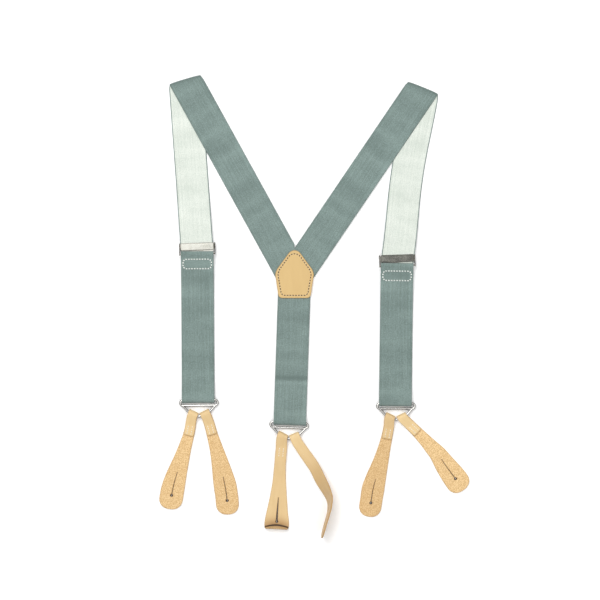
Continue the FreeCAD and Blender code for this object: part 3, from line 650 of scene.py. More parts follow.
ELASTIC = Elastic(
    "sage_elastic", "webbing",
    (0.278, 0.366, 0.342, 1.0), (0.142, 0.194, 0.179, 1.0), (0.84, 0.88, 0.81, 1.0), (0.60, 0.66, 0.59, 1.0),
)
# the last colour of each hide is near-black painted shadow
TAB_HIDE = Hide(
    "tab_hide", "tab_leather",
    (0.82, 0.61, 0.32, 1.0), (0.66, 0.43, 0.18, 1.0), (0.89, 0.64, 0.335, 1.0), (0.57, 0.33, 0.12, 1.0),
    (0.27, 0.12, 0.035, 1.0), (0.36, 0.18, 0.06, 1.0), (0.045, 0.022, 0.009, 1.0),
)
YOKE_HIDE = Hide(
    "yoke_hide", "yoke_leather",
    (0.67, 0.465, 0.20, 1.0), (0.58, 0.375, 0.15, 1.0), (0.80, 0.58, 0.32, 1.0), (0.66, 0.44, 0.22, 1.0),
    (0.42, 0.22, 0.09, 1.0), (0.30, 0.15, 0.05, 1.0), (0.045, 0.022, 0.009, 1.0),
)
NICKEL_WIRE = Nickel("bright_wire", "nickel_wire", (0.84, 0.83, 0.80, 1.0), (0.66, 0.64, 0.60, 1.0), 0.14)
NICKEL_PLATE = Nickel("bright_plate", "nickel_plate", (0.70, 0.70, 0.64, 1.0), (0.55, 0.54, 0.46, 1.0), 0.09)
WEBBING_THREAD = Thread("mint_thread", "webbing_thread", (0.93, 0.96, 0.92, 1.0), (0.78, 0.84, 0.79, 1.0))
LEATHER_THREAD = Thread("cream_thread", "leather_thread", (0.96, 0.94, 0.88, 1.0), (0.80, 0.74, 0.62, 1.0))
YOKE_THREAD = Thread("wheat_thread", "leather_thread", (0.90, 0.79, 0.55, 1.0), (0.66, 0.50, 0.27, 1.0))
# the two needle-hole finishes are near-black painted shadow for the discs that stand for needle holes
WEBBING_HOLE_SHADOW = Thread(
    "webbing_hole_shadow", "webbing_thread", (0.06, 0.09, 0.08, 1.0), (0.03, 0.05, 0.045, 1.0),
)
NEEDLE_HOLE_SHADOW = Thread("needle_hole_shadow", "leather_thread", (0.10, 0.05, 0.02, 1.0), (0.06, 0.03, 0.012, 1.0))
SAGE_THREAD = Thread("sage_thread", "webbing_thread", (0.23, 0.30, 0.27, 1.0), (0.14, 0.19, 0.17, 1.0))
TABLE = Table("table_top", "", (0.98, 0.98, 0.98, 1.0))


# ------------------------------------------------------------------ sewing


@dataclass
class Stitching:
    """A run of stitches: each is two twisted plies that rise from one needle hole and dip into the next."""

    name: str
    body: str
    node: str
    points: np.ndarray
    headings: np.ndarray
    normals: np.ndarray
    thread: Thread
    length: float = 2.25
    radius: float = 0.24
    holes: Thread | None = None
    hole_size: float = 0.42

    def build(self) -> bpy.types.Object:
        """Makes the stitches, and dark discs of painted shadow for the needle holes at their ends.

        A ply's middle line runs the length of the stitch, lifts off the surface as 1 - t squared, and winds
        once round the stitch's own middle.

        Returns:
            The object of the stitches.
        """
        rows, sides = 7, 5
        t = np.linspace(-1, 1, rows)
        around = np.arange(sides) * 2 * np.pi / sides
        shell = Shell()
        side_ways = np.cross(self.normals, self.headings)
        for ply in (0.0, math.pi):
            wind = ply + math.pi * t
            middle = np.stack([t * self.length / 2, 0.8 * self.radius * np.cos(wind)], 1)
            lift = 0.42 * (1 - t**2) - 0.16 + 0.45 * self.radius * np.sin(wind)
            ring_side = self.radius * np.cos(around)
            ring_up = 0.8 * self.radius * np.sin(around)
            along = np.broadcast_to(middle[:, :1], (rows, sides))
            across = middle[:, 1:] + ring_side
            above = lift[:, None] + ring_up
            local = np.stack([along, across, above], -1)
            basis = np.stack([self.headings, side_ways, self.normals], 1)
            points = self.points[:, None, None, :] + np.einsum("rsk,nkc->nrsc", local, basis)
            faces = grid_faces(rows, sides, wrap=True)
            shift = np.arange(len(self.points))[:, None, None] * rows * sides
            caps = np.stack([np.arange(sides)[::-1], np.arange(sides) + (rows - 1) * sides])
            shell.add(points, [(faces + shift).reshape(-1, 4), (caps + shift).reshape(-1, sides)])
        made = shell.make(self.name, self.thread.material(), 80.0)
        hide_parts(self.node)
        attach(made, self.body)
        if self.holes:
            self.needle_holes(side_ways)
        return made

    def needle_holes(self, side_ways: np.ndarray) -> None:
        """Small dark dished discs under both ends of each stitch: painted shadow standing for the needle holes.

        Args:
            side_ways: unit vector across each stitch.
        """
        sides = 8
        around = np.arange(sides) * 2 * np.pi / sides
        shell = Shell()
        for end in (-1.0, 1.0):
            centre = self.points + self.headings * (end * (self.length / 2 + 0.25)) + self.normals * 0.02
            rim = np.cos(around)[None, :, None] * self.headings[:, None, :] * self.hole_size
            rim = rim + np.sin(around)[None, :, None] * side_ways[:, None, :] * self.hole_size
            faces = np.arange(len(centre))[:, None] * sides + np.arange(sides)
            shell.add(centre[:, None, :] + rim, [faces])
        made = shell.make(self.name + "_holes", self.holes.material())
        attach(made, self.body)


def spaced(line: np.ndarray, pitch: float, closed: bool) -> tuple:
    """Even places along a flat line.

    Args:
        line: points, one row of two numbers each.
        pitch: wanted spacing.
        closed: whether the line is a loop.
    Returns:
        The points and the unit headings there.
    """
    run = np.concatenate([line, line[:1]]) if closed else line
    length = travelled(run)
    count = max(2, round(length[-1] / pitch))
    places = (np.arange(count) + 0.5) / count * length[-1]
    at = np.stack([np.interp(places, length, run[:, k]) for k in (0, 1)], 1)
    i = np.clip(np.searchsorted(length, places, side="right") - 1, 0, len(run) - 2)
    heading = run[i + 1] - run[i]
    return at, heading / np.linalg.norm(heading, axis=1, keepdims=True)


# ------------------------------------------------------------------ webbing


def webbing_section(outer: int = 1) -> tuple:
    """The section of the webbing: a flat loop with round edges.

    Args:
        outer: 1 if the outer face is the upper one, -1 if it is the lower one.
    Returns:
        Places across, heights from the middle, and which points are on the pale inner side.
    """
    half, thin = WEBBING[0] / 2, WEBBING[1] / 2
    edge = 0.5
    shares = np.sin(np.linspace(-1, 1, 23) * np.pi / 2)
    flat = shares * (half - edge)
    turn = np.linspace(90, -90, 7)[1:-1]
    right = np.stack([half - edge + edge * np.cos(np.radians(turn)), thin * np.sin(np.radians(turn))], 1)
    top = np.stack([flat, np.full(23, thin)], 1)
    bottom = np.stack([flat[::-1], np.full(23, -thin)], 1)
    left = right[::-1] * [-1, 1]
    loop = np.concatenate([top, right, bottom, left])
    inner = (loop[:, 1] * outer < -thin * 0.9) & (np.abs(loop[:, 0]) < half - 0.95)
    return loop[:, 0], loop[:, 1], inner.astype(float)


def painted_shading_bands(lengths: np.ndarray, bands: tuple) -> np.ndarray:
    """Bands of painted shade (darker) and painted light (paler) across a strip, each a soft bell.

    Args:
        lengths: place along the strip of each point.
        bands: (place, half width, strength) of each; a negative strength is paler.
    Returns:
        The sum of the bands at each point.
    """
    return sum(strength * np.exp(-(((lengths - place) / wide) ** 2)) for place, wide, strength in bands)


def strip_shell(points: np.ndarray, across: np.ndarray, lengths: np.ndarray, inner: np.ndarray,
                shade: np.ndarray | float = 0.0) -> Shell:
    """A closed strip from a grid of section loops, with flat ends.

    Args:
        points: rows of section points, in millimetres.
        across: place across the strip of each point.
        lengths: place along the strip of each point.
        inner: which points are on the inner side.
        shade: painted shade (darker) or painted light (paler) at each point.
    Returns:
        The shell.
    """
    rows, columns = points.shape[:2]
    uv = np.stack(np.broadcast_arrays(across[None, :], lengths), -1) * MM
    shell = Shell()
    faces = grid_faces(rows, columns, wrap=True)
    ends = [np.arange(columns)[None, ::-1], (np.arange(columns) + (rows - 1) * columns)[None, :]]
    # painted shade along both rounded edges of the webbing, on both faces
    edge = np.exp(-(WEBBING[0] / 2 - np.abs(np.broadcast_to(across, (rows, columns)))) / 0.45)
    shell.add(points, [faces] + ends, uv, inner=np.broadcast_to(inner, (rows, columns)),
              shade=np.broadcast_to(shade, (rows, columns)) + 0.3 * edge)
    return shell


@dataclass
class Shoulder:
    """One strap over a shoulder: from the yoke up to the fold, round it, and down under itself.

    The flat strip is folded about a slanting line: what lies past the line turns half round an axis just
    above the table and comes back underneath, mirrored in the line.
    """

    side: Side
    yoke_end: tuple
    fold: tuple
    line: float
    adjuster: tuple
    bow: float
    split: float = -20.9
    foot: float = 26.5
    axis_level: float = 1.25
    wrap: float = 0.65
    split_room: float = 0.05
    joint_at: float = 6.0

    def __post_init__(self) -> None:
        self.fold_point = np.array([*self.fold, 0.0])
        start = np.array([*self.yoke_end, 0.0])
        self.heading = (self.fold_point - start) / np.linalg.norm(self.fold_point - start)
        self.sideways = np.cross(self.heading, UP)
        self.start = start
        self.along_line = direction(self.line)
        self.past_line = np.cross(UP, self.along_line)
        self.past_line *= np.sign(self.past_line @ self.heading)
        self.length = float(np.linalg.norm(self.fold_point - start))
        mirrored = self.heading - 2 * (self.heading @ self.past_line) * self.past_line
        target = np.array([*self.adjuster, 0.0]) - self.fold_point
        self.front_length = float(np.linalg.norm(target))
        self.back_side = np.cross(mirrored, UP)
        self.drift = float((target - mirrored * (target @ mirrored)) @ self.back_side)

    def reach(self, across: np.ndarray) -> np.ndarray:
        """The length along the strip at which it meets the fold line, for each place across."""
        tilt = (self.sideways @ self.past_line) / (self.heading @ self.past_line)
        return self.length - across * tilt

    def place(self, lengths: np.ndarray, across: np.ndarray, height: np.ndarray) -> np.ndarray:
        """Where points of the flat strip come to lie.

        Args:
            lengths: place along the strip.
            across: place across it.
            height: above its middle, towards the outer face.
        Returns:
            Points in millimetres.
        """
        flat = self.start + lengths[..., None] * self.heading + across[..., None] * self.sideways
        past = (flat - self.fold_point) @ self.past_line
        on_line = (flat - self.fold_point) @ self.along_line
        bend = np.pi * self.wrap
        angle = np.clip(past / self.wrap, 0, np.pi)
        radius = self.wrap + height
        out = np.where(past < 0, past, radius * np.sin(angle) - np.clip(past - bend, 0, None))
        level = self.axis_level + radius * np.cos(angle)
        near = np.exp(-(((past - bend / 2) / 3.6) ** 2))
        out = out - near * (0.5 + 0.9 * (on_line / 18.6) ** 4)
        on_line = on_line * (1 - 0.03 * near)
        gone = np.clip(lengths - self.length - bend, 0, None) / self.front_length
        shift = self.drift * gone + self.bow * np.sin(np.pi * np.clip(gone, 0, 1)) ** 2
        # the front rises from the table to the level of the adjuster's slot
        left = self.front_length * (1 - gone)
        rise = np.clip((78.0 - left) / 62.0, 0, 1)
        level = level + 3.1 * rise * rise * (3 - 2 * rise)
        place = self.fold_point + on_line[..., None] * self.along_line + out[..., None] * self.past_line
        return place + shift[..., None] * self.back_side + level[..., None] * UP

    def build(self) -> None:
        """Makes the strap over the shoulder with its fold, and the front strap that carries on from it."""
        across, height, inner = webbing_section()
        side = self.side.value
        edge = self.split + self.split_room * np.sign(self.fold[0])
        cut = (edge - self.start[0] - across * self.sideways[0]) / self.heading[0]
        level = (self.foot - self.start[1] - across * self.sideways[1]) / self.heading[1]
        begin = np.maximum(cut, level)
        fold_at = self.reach(across)
        bend = np.pi * self.wrap / float(self.heading @ self.past_line)
        up = np.linspace(0, 1, 110)[:, None]
        strap = begin + (fold_at - begin) * up
        rounding = fold_at + bend * np.linspace(0, 1, 14)[1:, None]
        after = fold_at + bend + self.joint_at * np.linspace(0, 1, 5)[1:, None]
        lengths = np.concatenate([strap, rounding, after])
        wide = np.broadcast_to(across, lengths.shape)
        points = self.place(lengths, wide, np.broadcast_to(height, lengths.shape))
        # painted shade along the fold's rounded edge, and a wider band of painted shade round the start of the
        # fold
        fold_shade = 0.34 * np.exp(-(((lengths - fold_at - bend / 2) / 1.9) ** 2))
        fold_shade = fold_shade + 0.12 * np.exp(-(((lengths - fold_at) / 7.0) ** 2))
        over = strip_shell(points, across, lengths, inner, fold_shade).make(
            f"shoulder_webbing_{side}", ELASTIC.material())
        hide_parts(f"shoulder_strap_{side}", f"shoulder_fold_{side}")
        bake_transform(over)

        # the front strap carries on a little past the adjuster
        first = fold_at + bend + self.joint_at
        total = self.length + bend + self.front_length + 4.0
        down = first + (total - first) * np.linspace(0, 1, 120)[:, None]
        wide = np.broadcast_to(across, down.shape)
        points = self.place(down, wide, np.broadcast_to(height, down.shape))
        front = strip_shell(points, across, down, inner).make(f"front_webbing_{side}", ELASTIC.material())
        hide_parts(f"front_strap_{side}")
        way = np.array([*self.adjuster, 0.0]) - self.fold_point
        way /= np.linalg.norm(way)
        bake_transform(front)


def lay_strip(route: np.ndarray, origin: np.ndarray, turn: float, outer: int = 1) -> tuple:
    """Webbing laid along a route that is drawn from the side.

    Args:
        route: points (along, height) of the strip's middle; along is the frame's own Y.
        origin: where the route starts, in the row frame.
        turn: angle of the frame about +Z.
        outer: 1 if the outer face is on the route's left, -1 if it is on its right.
    Returns:
        Grid of points, places across and along, and the inner mark.
    """
    across, height, inner = webbing_section(outer)
    normal = side_normals(route)
    basis = rotation(turn)
    line = route[:, None, :] + normal[:, None, :] * height[None, :, None]
    points = origin + across[None, :, None] * basis[0] + line[..., :1] * basis[1] + line[..., 1:] * UP
    lengths = np.broadcast_to(travelled(route)[:, None], points.shape[:2])
    return points, across, lengths, inner


def run_down(top: tuple, end: tuple) -> tuple:
    """The frame of a strap that runs straight from one place to another.

    Args:
        top: flat place where it starts.
        end: flat place that it runs to.
    Returns:
        The start, the way to the end, the distance, and the angle of the frame about +Z.
    """
    origin = np.array([*top, 0.0])
    run = np.array([*end, 0.0]) - origin
    return origin, run, float(np.linalg.norm(run)), math.degrees(math.atan2(run[1], run[0])) + 90.0


@dataclass
class DoubledStrap:
    """Webbing below an adjuster: down behind, round the ring, back up, round the adjuster's bar, sewn."""

    side: Side
    top: tuple
    ring_end: tuple
    bar: float = -7.8

    def build(self) -> None:
        """Makes the strap and its rectangle of stitches."""
        side = self.side.value
        origin, run, drop, turn = run_down(self.top, self.ring_end)
        low, high = WIRE_LEVEL - RING_WRAP, WIRE_LEVEL + RING_WRAP
        resting = low + 1.6
        eye = self.bar + 2.25
        corners = [
            (-5.2, 3.7, 0), (-40.0, low, 60), (-(drop - 9.0), low, 20), (-(drop + RING_WRAP), low, RING_WRAP),
            (-(drop + RING_WRAP), high, RING_WRAP), (-(drop - 4.0), high, 10), (-(drop - 24.0), resting, 40),
            (-52.0, resting, 40), (-26.0, 4.7, 30), (-13.5, 5.95, 6), (-8.7, 7.1, 2.5), (eye, 7.1, 1.1),
            (eye, 4.9, 1.1), (-11.5, 4.75, 15), (-26.0, 3.4, 0),
        ]
        route = rounded(corners)
        points, across, lengths, inner = lay_strip(route, origin, turn)
        strap = strip_shell(points, across, lengths, inner).make(
            f"doubled_webbing_{side}", ELASTIC.material()
        )
        runs = ("passing_strap", "ring_turn", "return_strap", "sewn_end")
        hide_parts(*[f"{run_name}_{side}" for run_name in runs])
        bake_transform(strap)
        self.box(origin, turn, side)

    def box(self, origin: np.ndarray, turn: float, side: str) -> None:
        """The rectangle of stitches with cut corners on the sewn end."""
        wide, tall, cut = 15.2, 5.1, 2.2
        corners = [
            (-wide + cut, -tall, 0), (wide - cut, -tall, 0), (wide, -tall + cut, 0), (wide, tall - cut, 0),
            (wide - cut, tall, 0), (-wide + cut, tall, 0), (-wide, tall - cut, 0), (-wide, -tall + cut, 0),
        ]
        at, heading = spaced(rounded(corners, True), 2.95, True)
        slope = math.atan2(5.95 - 4.7, 12.5)
        up = np.array([0.0, -math.sin(slope), math.cos(slope)])
        along = np.array([0.0, math.cos(slope), math.sin(slope)])
        middle = np.array([0.0, -18.6, 4.7 + (26.0 - 18.6) * math.tan(slope)]) + up * (WEBBING[1] / 2)
        basis = rotation(turn)
        points = middle + at[:, :1] * np.array([1.0, 0, 0]) + at[:, 1:] * along
        ways = heading[:, :1] * np.array([1.0, 0, 0]) + heading[:, 1:] * along
        normals = np.broadcast_to(up @ basis, points.shape)
        Stitching(
            f"box_thread_{side}", f"adjuster_{side}", f"box_stitching_{side}", origin + points @ basis,
            ways @ basis, normals, WEBBING_THREAD, length=1.75, radius=0.46, holes=WEBBING_HOLE_SHADOW,
        ).build()


@dataclass
class BackStrap:
    """The strap down the back, whose end turns round its ring and is sewn under itself."""

    top: tuple
    ring_end: tuple

    def build(self) -> None:
        """Makes the strap and its faint row of stitches."""
        origin, _, drop, turn = run_down(self.top, self.ring_end)
        low, high = WIRE_LEVEL - RING_WRAP, WIRE_LEVEL + RING_WRAP
        sewn = low + WEBBING[1] + 0.1
        corners = [
            (0.0, 1.9, 0), (-30.0, 1.9, 80), (-(drop - 50.0), sewn, 40), (-(drop - 11.5), sewn, 8),
            (-(drop - 2.0), high, 5), (-(drop + RING_WRAP), high, RING_WRAP),
            (-(drop + RING_WRAP), low, RING_WRAP), (-(drop - 47.0), low, 0),
        ]
        route = rounded(corners)
        points, across, lengths, inner = lay_strip(route, origin, turn, outer=-1)
        # painted shade in a dark band where the sewn-under end starts, painted light in a paler band just past
        # it, and a soft band of painted shade 34 mm down the strap
        painted_crease_shading = painted_shading_bands(lengths, ((drop - 47.6, 2.2, 0.34), (drop - 43.0, 3.0, -0.22), (34.0, 7.0, 0.10)))
        strap = strip_shell(points, across, lengths, inner, painted_crease_shading).make("back_webbing", ELASTIC.material())
        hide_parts("back_strap")
        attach(strap, "yoke")
        basis = rotation(turn)
        rows = []
        # one row lies before the strap climbs to its ring, the other on the climb
        for down, slope in ((drop - 14.5, 0.0), (drop - 6.6, math.atan2(high - sewn, 9.5))):
            level = sewn + (down - drop + 11.5) * math.tan(slope)
            up = np.array([0.0, math.sin(slope), math.cos(slope)])
            x = np.arange(-15.6, 15.7, 2.6)
            rows.append((np.stack([x, np.full_like(x, -down), np.full_like(x, level)], 1) + up * 0.56, up))
        points = origin + np.concatenate([r[0] for r in rows]) @ basis
        normals = np.concatenate([np.broadcast_to(r[1] @ basis, r[0].shape) for r in rows])
        headings = np.broadcast_to(basis[0], points.shape)
        Stitching("back_thread", "yoke", "back_strap_stitching", points, headings, normals, SAGE_THREAD,
                  length=1.9, radius=0.2).build()


# ------------------------------------------------------------------ flat pieces with rounded rims


def rim_rings(outline: np.ndarray, insets: np.ndarray) -> np.ndarray:
    """Loops inside a rounded outline, each moved in by a distance.

    Args:
        outline: a closed loop of points, anticlockwise.
        insets: distances inwards.
    Returns:
        One loop per inset.
    """
    ahead, back = np.roll(outline, -1, 0), np.roll(outline, 1, 0)
    slope = ahead - back
    slope /= np.linalg.norm(slope, axis=1, keepdims=True)
    inward = np.stack([-slope[:, 1], slope[:, 0]], 1)
    return outline[None] + inward[None] * insets[:, None, None]


@dataclass
class Slab:
    """A flat piece with a rounded rim: rings of points close in on its middle on both faces.

    Height falls away towards the rim as a quarter round, and a groove can run round at one inset.
    """

    name: str
    outline: np.ndarray
    thick: float
    edge: float
    finish: Finish
    crown: float = 0.0
    groove: float = 0.0
    groove_at: float = 3.0
    core: int = 9
    rim_wide: float = 0.45
    bands: tuple = ()

    def shell(self, origin: np.ndarray, basis: np.ndarray) -> Shell:
        """The slab's surface.

        Args:
            origin: middle of its underside in the row frame.
            basis: its own X, Y and Z as rows.
        Returns:
            The shell.
        """
        steps = np.array([0.0, 0.12, 0.3, 0.6, 1.0]) * self.edge
        fine = np.arange(0.5, 4.3, 0.25) if self.groove else np.array([])
        insets = np.unique(np.concatenate([steps, fine[fine > self.edge], self.bands]))
        rim = rim_rings(self.outline, insets)
        middle = self.outline.mean(0)
        shares = np.linspace(0, 1, self.core + 1)[1:-1]
        inner = rim[-1][None] * (1 - shares[:, None, None]) + middle * shares[:, None, None]
        rings = np.concatenate([rim, inner])
        depth = np.concatenate([insets, insets[-1] + 9.0 * shares])
        round_off = self.edge * (1 - np.sqrt(1 - (1 - np.clip(depth / self.edge, 0, 1)) ** 2))
        span = np.concatenate([np.zeros(len(insets)), shares])
        top = self.thick - round_off + self.crown * (1 - (1 - span) ** 2)
        top = top - self.groove * np.exp(-(((depth - self.groove_at) / 0.55) ** 2))
        count = self.outline.shape[0]
        middle_top = np.array([*middle, top[-1]])
        upper = np.concatenate([rings, np.broadcast_to(top[:, None, None], rings.shape[:2] + (1,))], -1)
        lower = np.concatenate([rings, np.broadcast_to(round_off[:, None, None], rings.shape[:2] + (1,))], -1)
        rows = len(rings)
        points = np.concatenate([lower[::-1].reshape(-1, 3), upper.reshape(-1, 3), middle_top[None],
                                 np.array([[*middle, 0.0]])])
        faces = grid_faces(2 * rows, count, wrap=True)
        last = (2 * rows - 1) * count
        j = np.arange(count)
        k = (j + 1) % count
        peak, pit = 2 * rows * count, 2 * rows * count + 1
        fans = np.concatenate([
            np.stack([last + j, last + k, np.full(count, peak)], 1), np.stack([k, j, np.full(count, pit)], 1),
        ])
        # the rim value marks the outer rings: a leather's darker cut rim, and painted edge shade on nickel
        rim_mark = np.exp(-((depth / self.rim_wide) ** 2))
        mark = np.concatenate([np.repeat(rim_mark[::-1], count), np.repeat(rim_mark, count), [0, 0]])
        shell = Shell()
        shell.add(origin + points @ basis, [faces, fans], points[:, :2] * MM, rim=mark, flesh=0.0, shade=0.0)
        return shell

    def build(self, origin: np.ndarray, basis: np.ndarray) -> bpy.types.Object:
        """Makes the slab as an object.

        Args:
            origin: middle of its underside in the row frame.
            basis: its own X, Y and Z as rows.
        Returns:
            The object.
        """
        made = self.shell(origin, basis).make(self.name, self.finish.material(), 60.0)
        return made


@dataclass
class Yoke:
    """The leather patch that joins the three straps, its backing and its stitched row."""

    foot: tuple = (-20.9, 9.5)
    half: float = 20.8
    foot_half: float = 17.0
    tall: float = 52.1
    shoulder: float = 25.5
    leather: float = 1.25
    top_level: float = 2.6

    def corners(self, inset: float) -> list:
        """The corners of the outline about its foot, moved in by a distance."""
        half, foot, tall = self.half - inset, self.foot_half - inset, self.tall - 1.2 * inset
        return [
            (-foot, inset, 4.6), (foot, inset, 4.6), (half, self.shoulder, 8.0),
            (half - 1.5, self.shoulder + 5.0, 9.0), (0.0, tall + 4.8, 8.0),
            (-half + 1.5, self.shoulder + 5.0, 9.0), (-half, self.shoulder, 8.0),
        ]

    def build(self) -> None:
        """Makes the two leathers and the thread."""
        outline = rounded(self.corners(0.0), True, 0.8)
        for name, level, groove in (("front", self.top_level, 0.08), ("backing", 0.0, 0.0)):
            slab = Slab(f"yoke_{name}", outline, self.leather, 0.42, YOKE_HIDE, groove=groove)
            made = slab.build(np.array([*self.foot, level]), np.eye(3))
            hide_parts(f"yoke_patch_{name}")
            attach(made, "yoke")
        at, heading = spaced(rounded(self.corners(3.0), True, 0.8), 3.05, True)
        level = self.top_level + self.leather - 0.02
        points = np.concatenate([at + np.array(self.foot), np.full((len(at), 1), level)], 1)
        headings = np.concatenate([heading, np.zeros((len(at), 1))], 1)
        Stitching("yoke_thread", "yoke", "yoke_patch_stitching", points, headings,
                  np.broadcast_to(UP, points.shape), YOKE_THREAD, length=1.5, radius=0.25, holes=NEEDLE_HOLE_SHADOW,
                  hole_size=0.62).build()


# ------------------------------------------------------------------ leather tabs


def leather_shell(middle: np.ndarray, wide: np.ndarray, through: np.ndarray, half: np.ndarray, gap: np.ndarray,
                  places: np.ndarray, shade: Callable, body_flesh: bool) -> Shell:
    """A strip of thick leather with cut rims, and a slit that opens down its middle line.

    Each row runs across the strip from rim to slit to rim, on both faces. A point's height is half the
    thickness, less a small round-off near a rim. Where the slit is shut its two sides share their points.

    Args:
        middle: middle of the leather at each row.
        wide: unit vector across each row.
        through: unit vector towards the grain side.
        half: half width at each row.
        gap: half width of the slit at each row, 0 where it is shut.
        places: distance of each row along the leather.
        shade: takes places across and along, and returns how much the leather is darkened there, by its own tone
            and by painted shade.
        body_flesh: whether the body shows its flesh side from above.
    Returns:
        The shell.
    """
    rows, half_columns = len(middle), 13
    shares = (1 - np.cos(np.linspace(0, np.pi, half_columns))) / 2
    left = -half[:, None] + (half - gap)[:, None] * shares
    across = np.concatenate([left, -left[:, ::-1]], 1)
    narrow = -half[:, None] + (half - 0.15 * gap)[:, None] * shares
    narrow = np.concatenate([narrow, -narrow[:, ::-1]], 1)
    columns = across.shape[1]
    slope = np.gradient(half, places)
    outer = (half[:, None] - np.abs(across)) / np.sqrt(1 + slope[:, None] ** 2)
    ends = np.minimum(places - places[0], places[-1] - places)[:, None]
    slit = np.where(gap[:, None] > 0, np.abs(across) - gap[:, None], 9.0)
    depth = np.minimum(np.minimum(outer, slit), np.broadcast_to(ends, outer.shape))
    depth = np.clip(depth, 0, None)
    height = LEATHER / 2 - 0.3 * (1 - np.clip(depth / 0.8, 0, 1)) ** 2
    rim = np.exp(-depth / 0.3)
    # the slit is narrower on one face than on the other
    under, over = (across, narrow) if body_flesh else (narrow, across)
    upper = middle[:, None] + over[..., None] * wide[:, None] + height[..., None] * through[:, None]
    lower = middle[:, None] + under[..., None] * wide[:, None] - height[..., None] * through[:, None]
    number = np.arange(rows * columns).reshape(rows, columns)
    shut = gap <= 0
    number[shut, half_columns] = number[shut, half_columns - 1]
    below = number + rows * columns

    def quads(a: np.ndarray, flip: bool) -> np.ndarray:
        """The quads of one face, on both sides of the slit."""
        both = []
        for part in (a[:, :half_columns], a[:, half_columns:]):
            faces = np.stack([part[:-1, :-1], part[:-1, 1:], part[1:, 1:], part[1:, :-1]], -1).reshape(-1, 4)
            both.append(faces[:, ::-1] if flip else faces)
        return np.concatenate(both)

    def wall(a: np.ndarray, b: np.ndarray) -> np.ndarray:
        """The quads between two lines of points."""
        return np.stack([a[:-1], a[1:], b[1:], b[:-1]], -1)

    walls = [wall(number[:, 0], below[:, 0]), wall(below[:, -1], number[:, -1])]
    open_rows = ~(shut[:-1] & shut[1:])
    walls.append(wall(below[:, half_columns - 1], number[:, half_columns - 1])[open_rows])
    walls.append(wall(number[:, half_columns], below[:, half_columns])[open_rows])
    for row, first, second in ((0, below, number), (-1, number, below)):
        for part in (slice(0, half_columns), slice(half_columns, columns)):
            walls.append(wall(first[row, part], second[row, part]))
    uv = np.stack(np.broadcast_arrays(across, places[:, None]), -1) * MM
    marks = np.zeros((2, rows, columns))
    marks[1] = 1.0
    base = np.broadcast_to(shade(across, places[:, None]), rim.shape)
    # painted shadow: the slit's and the hole's walls and top edges take the full shade value, which runs to the
    # painted shadow colour
    inside = np.where((slit < 0.02) & (gap[:, None] > 0), 1.0, base)
    shell = Shell()
    shell.add(
        np.concatenate([upper, lower]), [quads(number, False), quads(below, True), np.concatenate(walls)],
        np.concatenate([uv, uv + 0.05]), rim=np.stack([rim, rim]), flesh=marks,
        shade=np.stack([inside, inside]),
    )
    return shell


